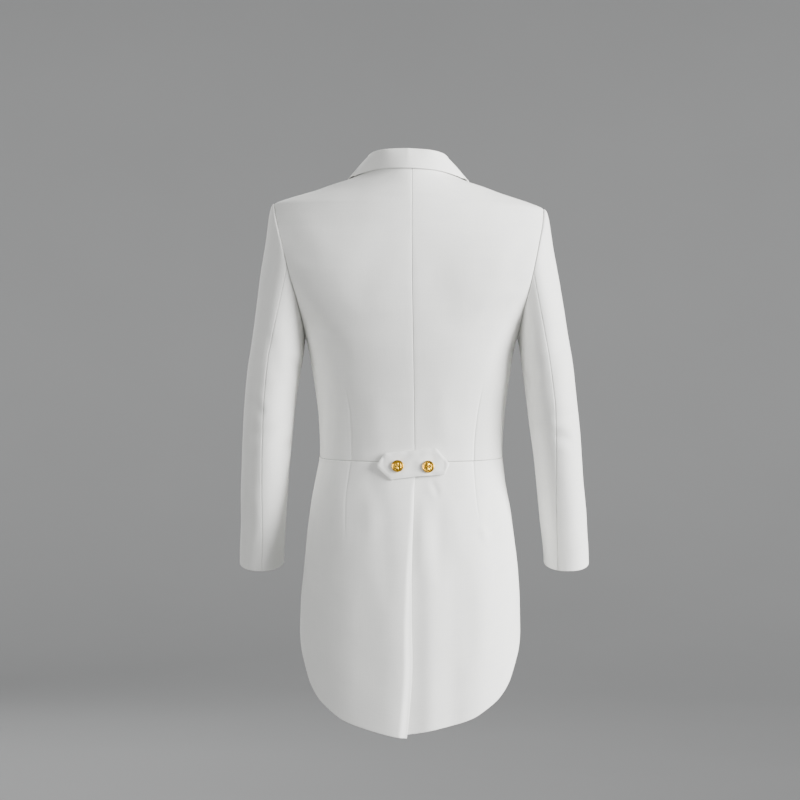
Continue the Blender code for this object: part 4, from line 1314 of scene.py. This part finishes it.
def tail_grid(name, across=84, down=128):
    """A tail from the waist seam to its foot, and from the vent to its front edge."""
    side = SIDES[name]
    way = np.linspace(0.0, 1.0, down + 1)[:, None]
    wrap = TAIL_WRAP + (TAIL_CORNER - TAIL_WRAP) * way**TAIL_SWEEP
    top = WAIST_Z - SEAM / 2
    level = top + (TAIL_FOOT_Z - top) * way
    near_vent = VENT("x", level) if name == "left" else np.full(level.shape, -UNDERLAP)
    first = tail_turn(name, near_vent, level)
    place = (tail_turn(name, TAIL_DART[name]("x", level), level) - first) / (wrap - first)
    above = level > TAIL_DART_FOOT[name]
    place = np.where(above, place, place[above][-1])
    share = columns_round(across, place, edge_share=VENT_SHARE)
    foot = TAIL_HEM("z", np.degrees(share * TAIL_CORNER))
    foot = foot + (RIGHT_TAIL_RISE * (1 - share) if name == "right" else 0.0)
    top = top + waist_rise(first[0] + (TAIL_WRAP - first[0]) * share)
    z = top + (foot - top) * way
    vent = VENT("x", z) if name == "left" else np.full(z.shape, -UNDERLAP)
    first = tail_turn(name, vent, z)
    points = tail_form(name, first + (wrap - first) * share, z)
    out = side * points[..., 0]
    if name == "left":
        points[..., 1] += lapped_edge(out, vent, z, points[..., 1] > 0)
    height = crease_height(out, z, TAIL_CREASES[name])
    dart = dart_height(out, z, TAIL_DART[name]("x", z), WAIST_Z, TAIL_DART_FOOT[name])
    height += TAIL_DART_SHARE[name] * dart
    return pressed(points, (0, 1, 0), height * smooth_step((1 - share) * TAIL_FADE))


TAIL_SEAMS = {"first_row": SEAM_ROLL}
TAIL_FREE = ("first_column", "last_column", "last_row")

for name in SIDES:
    grid = tail_grid(name)
    sew("tail_" + name, grid, (0, 1, 0), CLOTH_WALL, TAIL_SEAMS, TAIL_FREE)

# %% [markdown]
# ## The back tab
#
# The tab is a doubled strip with pointed ends, bagged out and pressed, and held only by its two
# buttons. It is thicker and softer than the coat: its edges are full and round, its middle is a
# little puffed, the cloth dips where each button is pulled down on it, and the loose ends lift.

# %% Tab grid
TAB_TOP = Table(
    "x z",
    (-0.0615, -0.4675),
    (-0.0400, -0.4427),
    (0.0440, -0.4502),
    (0.0578, -0.4717),
)
TAB_FOOT = Table(
    "x z",
    (-0.0615, -0.4675),
    (-0.0535, -0.4863),
    (-0.0065, -0.4890),
    (0.0343, -0.4947),
    (0.0578, -0.4717),
)
TAB_SOFTEN = (-0.0016, 0.0, 0.0016)  # its outline is the mean of three, this far apart along x
TAB_CLEAR = 0.0006
TAB_WALL = 0.0024
TAB_BLUNT = 0.0012
TAB_FULL_HEIGHT = 0.030
TAB_SLOPE_WIDTH = 0.050
TAB_FULLNESS = 6.0
TAB_PUFF = 0.0013
TAB_ROLL = 0.0018
TAB_RIM = 0.0004  # the turned-in cloth makes it thicker all round
TAB_RIM_AT = 0.0055  # this far from its edge
TAB_RIM_WIDTH = 0.0034
TAB_UNEVEN = 0.0011
TAB_UNEVEN_SCALE = 60.0
TAB_MIDDLE_X = -0.0018
TAB_END_FROM = 0.030  # outside the buttons, this far from its middle, its ends lift
TAB_END_WIDTH = 0.028
TAB_END_LIFT = {"left": 0.0019, "right": 0.0028}
# Each button's x, and its place up the tab as a share of the tab's height.
BUTTON_SEATS = {"left": (0.0228, 0.47), "right": (-0.0262, 0.34)}
BUTTON_DIP = 0.0008
BUTTON_DIP_WIDTH = 0.0085


def tab_edge(table, x):
    """The height of the tab's edge, along straight lines with softened corners."""
    near = [np.interp(x + step, table.at, table.columns["z"]) for step in TAB_SOFTEN]
    return np.mean(near, axis=0)


def tab_point(x, share):
    """A point of the tab's outer face, from its foot (0) to its top (1)."""
    top, foot = tab_edge(TAB_TOP, x), tab_edge(TAB_FOOT, x)
    above = on_form("back", turn_of("back", x, top), top)[..., 1]
    below = tail_form("left", tail_turn("left", x, foot), foot)[..., 1]
    below = below + LAP_LIFT * smooth_step(1.0 + (x - VENT("x", WAIST_Z)) / TAB_SLOPE_WIDTH)
    spread = np.minimum((top - foot) / TAB_FULL_HEIGHT, 1.0)
    y = below + (above - below) * share * spread + TAB_CLEAR + TAB_WALL
    return stack(x, y, foot + (top - foot) * share)


def tab_grid(along=96, rows=36):
    """The tab over the waist seam, puffed between its edges and dipped under its buttons."""
    ends = TAB_TOP.at[0] + TAB_BLUNT, TAB_TOP.at[-1] - TAB_BLUNT
    x = np.linspace(*ends, along + 1)[None, :]
    share = np.linspace(0.0, 1.0, rows + 1)[:, None]
    points = tab_point(x, share)
    end_way = (x - ends[0]) / (ends[1] - ends[0])
    full_up = np.sqrt(np.clip(4 * share * (1 - share), 0, 1))
    full = full_up * np.sqrt(smooth_step(TAB_FULLNESS * end_way * (1 - end_way)))
    lift = TAB_PUFF * full
    height = tab_edge(TAB_TOP, x) - tab_edge(TAB_FOOT, x)
    from_edge = np.minimum(share, 1 - share) * height
    from_edge = np.minimum(from_edge, np.minimum(x - ends[0], ends[1] - x) + TAB_RIM_AT / 2)
    lift = lift + TAB_RIM * np.exp(-(((from_edge - TAB_RIM_AT) / TAB_RIM_WIDTH) ** 2))
    spots = (points * TAB_UNEVEN_SCALE).reshape(-1, 3)
    waves = np.array([noise.noise(Vector(spot)) for spot in spots]).reshape(points.shape[:2])
    lift = lift + TAB_UNEVEN * waves * np.sqrt(full)
    end_lift = np.where(x > TAB_MIDDLE_X, TAB_END_LIFT["left"], TAB_END_LIFT["right"])
    lift = lift + end_lift * smooth_step((np.abs(x - TAB_MIDDLE_X) - TAB_END_FROM) / TAB_END_WIDTH)
    for button_x, up in BUTTON_SEATS.values():
        seat = tab_point(np.array(button_x), np.array(up))
        away = np.linalg.norm((points - seat)[..., [0, 2]], axis=-1)
        lift = lift - BUTTON_DIP * np.exp(-((away / BUTTON_DIP_WIDTH) ** 2)) * full
    points[..., 1] += lift
    return points


TAB_SEAMS = {"first_row": TAB_ROLL, "last_row": TAB_ROLL}

sew("back_tab", tab_grid(), (0, 1, 0), TAB_WALL, TAB_SEAMS)

# %% [markdown]
# ## Buttons
#
# The buttons are pressed from sheet brass: a raised rim, a ring of small beads inside it, and a
# rosette of eight petals on a low dome. One profile turned round would give only rings, so the
# points are placed in a polar grid, whose height also changes with the angle.

# %% Press a button
BUTTON_RADIUS = 0.0100
BUTTON_PROFILE = Table(
    "r z",
    (0.00, 0.0040),
    (0.30, 0.0039),
    (0.55, 0.0035),
    (0.70, 0.0026),
    (0.78, 0.0027),
    (0.85, 0.0039),
    (0.91, 0.0041),
    (0.97, 0.0037),
    (1.00, 0.0026),
)
PETALS = 8
PETAL_HEIGHT = 0.0007
PETAL_BLUNT = 0.7
PETAL_FROM, PETAL_FROM_FADE = 0.14, 0.1  # places on the face are shares of the radius
PETAL_TO, PETAL_TO_FADE = 0.64, 0.12
MIDDLE_TO, MIDDLE_FADE = 0.15, 0.05
BEADS = 28
BEAD_HEIGHT = 0.0004
BEAD_BLUNT = 0.8
BEAD_AT, BEAD_WIDTH = 0.735, 0.035
BUTTON_BACK_REACH = np.array([0.96, 0.90, 0.62])[:, None]
BUTTON_BACK_HEIGHT = np.array([0.0018, 0.0012, 0.0])[:, None]


def face_height(share, angle):
    """The height of the pressed face: its profile, petals, middle and beads."""
    height = BUTTON_PROFILE("z", share)
    petal = np.abs(np.cos(angle * PETALS / 2)) ** PETAL_BLUNT
    begun = smooth_step((share - PETAL_FROM) / PETAL_FROM_FADE)
    height = height + PETAL_HEIGHT * petal * begun * smooth_step((PETAL_TO - share) / PETAL_TO_FADE)
    height = height + PETAL_HEIGHT * smooth_step((MIDDLE_TO - share) / MIDDLE_FADE)
    bead = np.abs(np.cos(angle * BEADS / 2)) ** BEAD_BLUNT
    return height + BEAD_HEIGHT * bead * np.exp(-(((share - BEAD_AT) / BEAD_WIDTH) ** 2))


def button_mesh(name, rings=60, around=168):
    """A closed polar grid: the pressed face, then the plain back."""
    share = np.linspace(0.0, 1.0, rings + 1)[1:, None]
    angle = np.linspace(0.0, 2 * math.pi, around, endpoint=False)[None, :]
    reach = share * BUTTON_RADIUS
    face = stack(reach * np.cos(angle), reach * np.sin(angle), face_height(share, angle))
    reach = BUTTON_BACK_REACH * BUTTON_RADIUS
    back = stack(reach * np.cos(angle), reach * np.sin(angle), BUTTON_BACK_HEIGHT)
    rows = np.concatenate([face, back])
    count = len(rows)
    index = np.arange(count * around).reshape(count, around)
    after = np.roll(index, -1, axis=1)
    quads = np.stack([index[:-1], index[1:], after[1:], after[:-1]], axis=-1)
    quads = quads.reshape(-1, 4).tolist()
    top, foot = count * around, count * around + 1
    fans = [(top, a, b) for a, b in zip(index[0].tolist(), after[0].tolist())]
    fans += [(foot, b, a) for a, b in zip(index[-1].tolist(), after[-1].tolist())]
    middle_height = float(BUTTON_PROFILE("z", 0.0)) + PETAL_HEIGHT
    points = rows.reshape(-1, 3).tolist() + [[0.0, 0.0, middle_height], [0.0, 0.0, 0.0]]
    mesh = bpy.data.meshes.new(name)
    mesh.from_pydata(points, [], quads + fans)
    mesh.materials.append(gold_plate)
    mesh.shade_smooth()
    return mesh


print("a button has", PETALS, "petals and", BEADS, "beads")

# %% Set the buttons on the tab
BUTTON_CLEAR = 0.0004
SEAT_STEP_X = 0.001  # a button faces as the tab does between its seat and points this far away
SEAT_STEP_UP = 0.1

for name, (x, up) in BUTTON_SEATS.items():
    button = add_object("tab_button_" + name + "_gold", button_mesh("tab_button_" + name))
    seat = tab_point(np.array(x), np.array(up))
    along = tab_point(np.array(x + SEAT_STEP_X), np.array(up))
    upward = tab_point(np.array(x), np.array(up + SEAT_STEP_UP))
    normal = Vector(np.cross(upward - seat, along - seat)).normalized()
    button.rotation_euler = normal.to_track_quat("Z", "Y").to_euler()
    button.location = Vector(seat) + normal * BUTTON_CLEAR
    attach(button, "root")
    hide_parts("tab_button_" + name)
    print("button", name, "at", [round(value, 4) for value in button.location])

# %% [markdown]
# ## The cuts
#
# The flat cut of each piece, measured as it was sewn, is printed. The dressed coat has to keep to
# the imported coat's box within about a millimetre.

# %% Print the cuts
print("cuts (width, length, area):", cut_sizes)
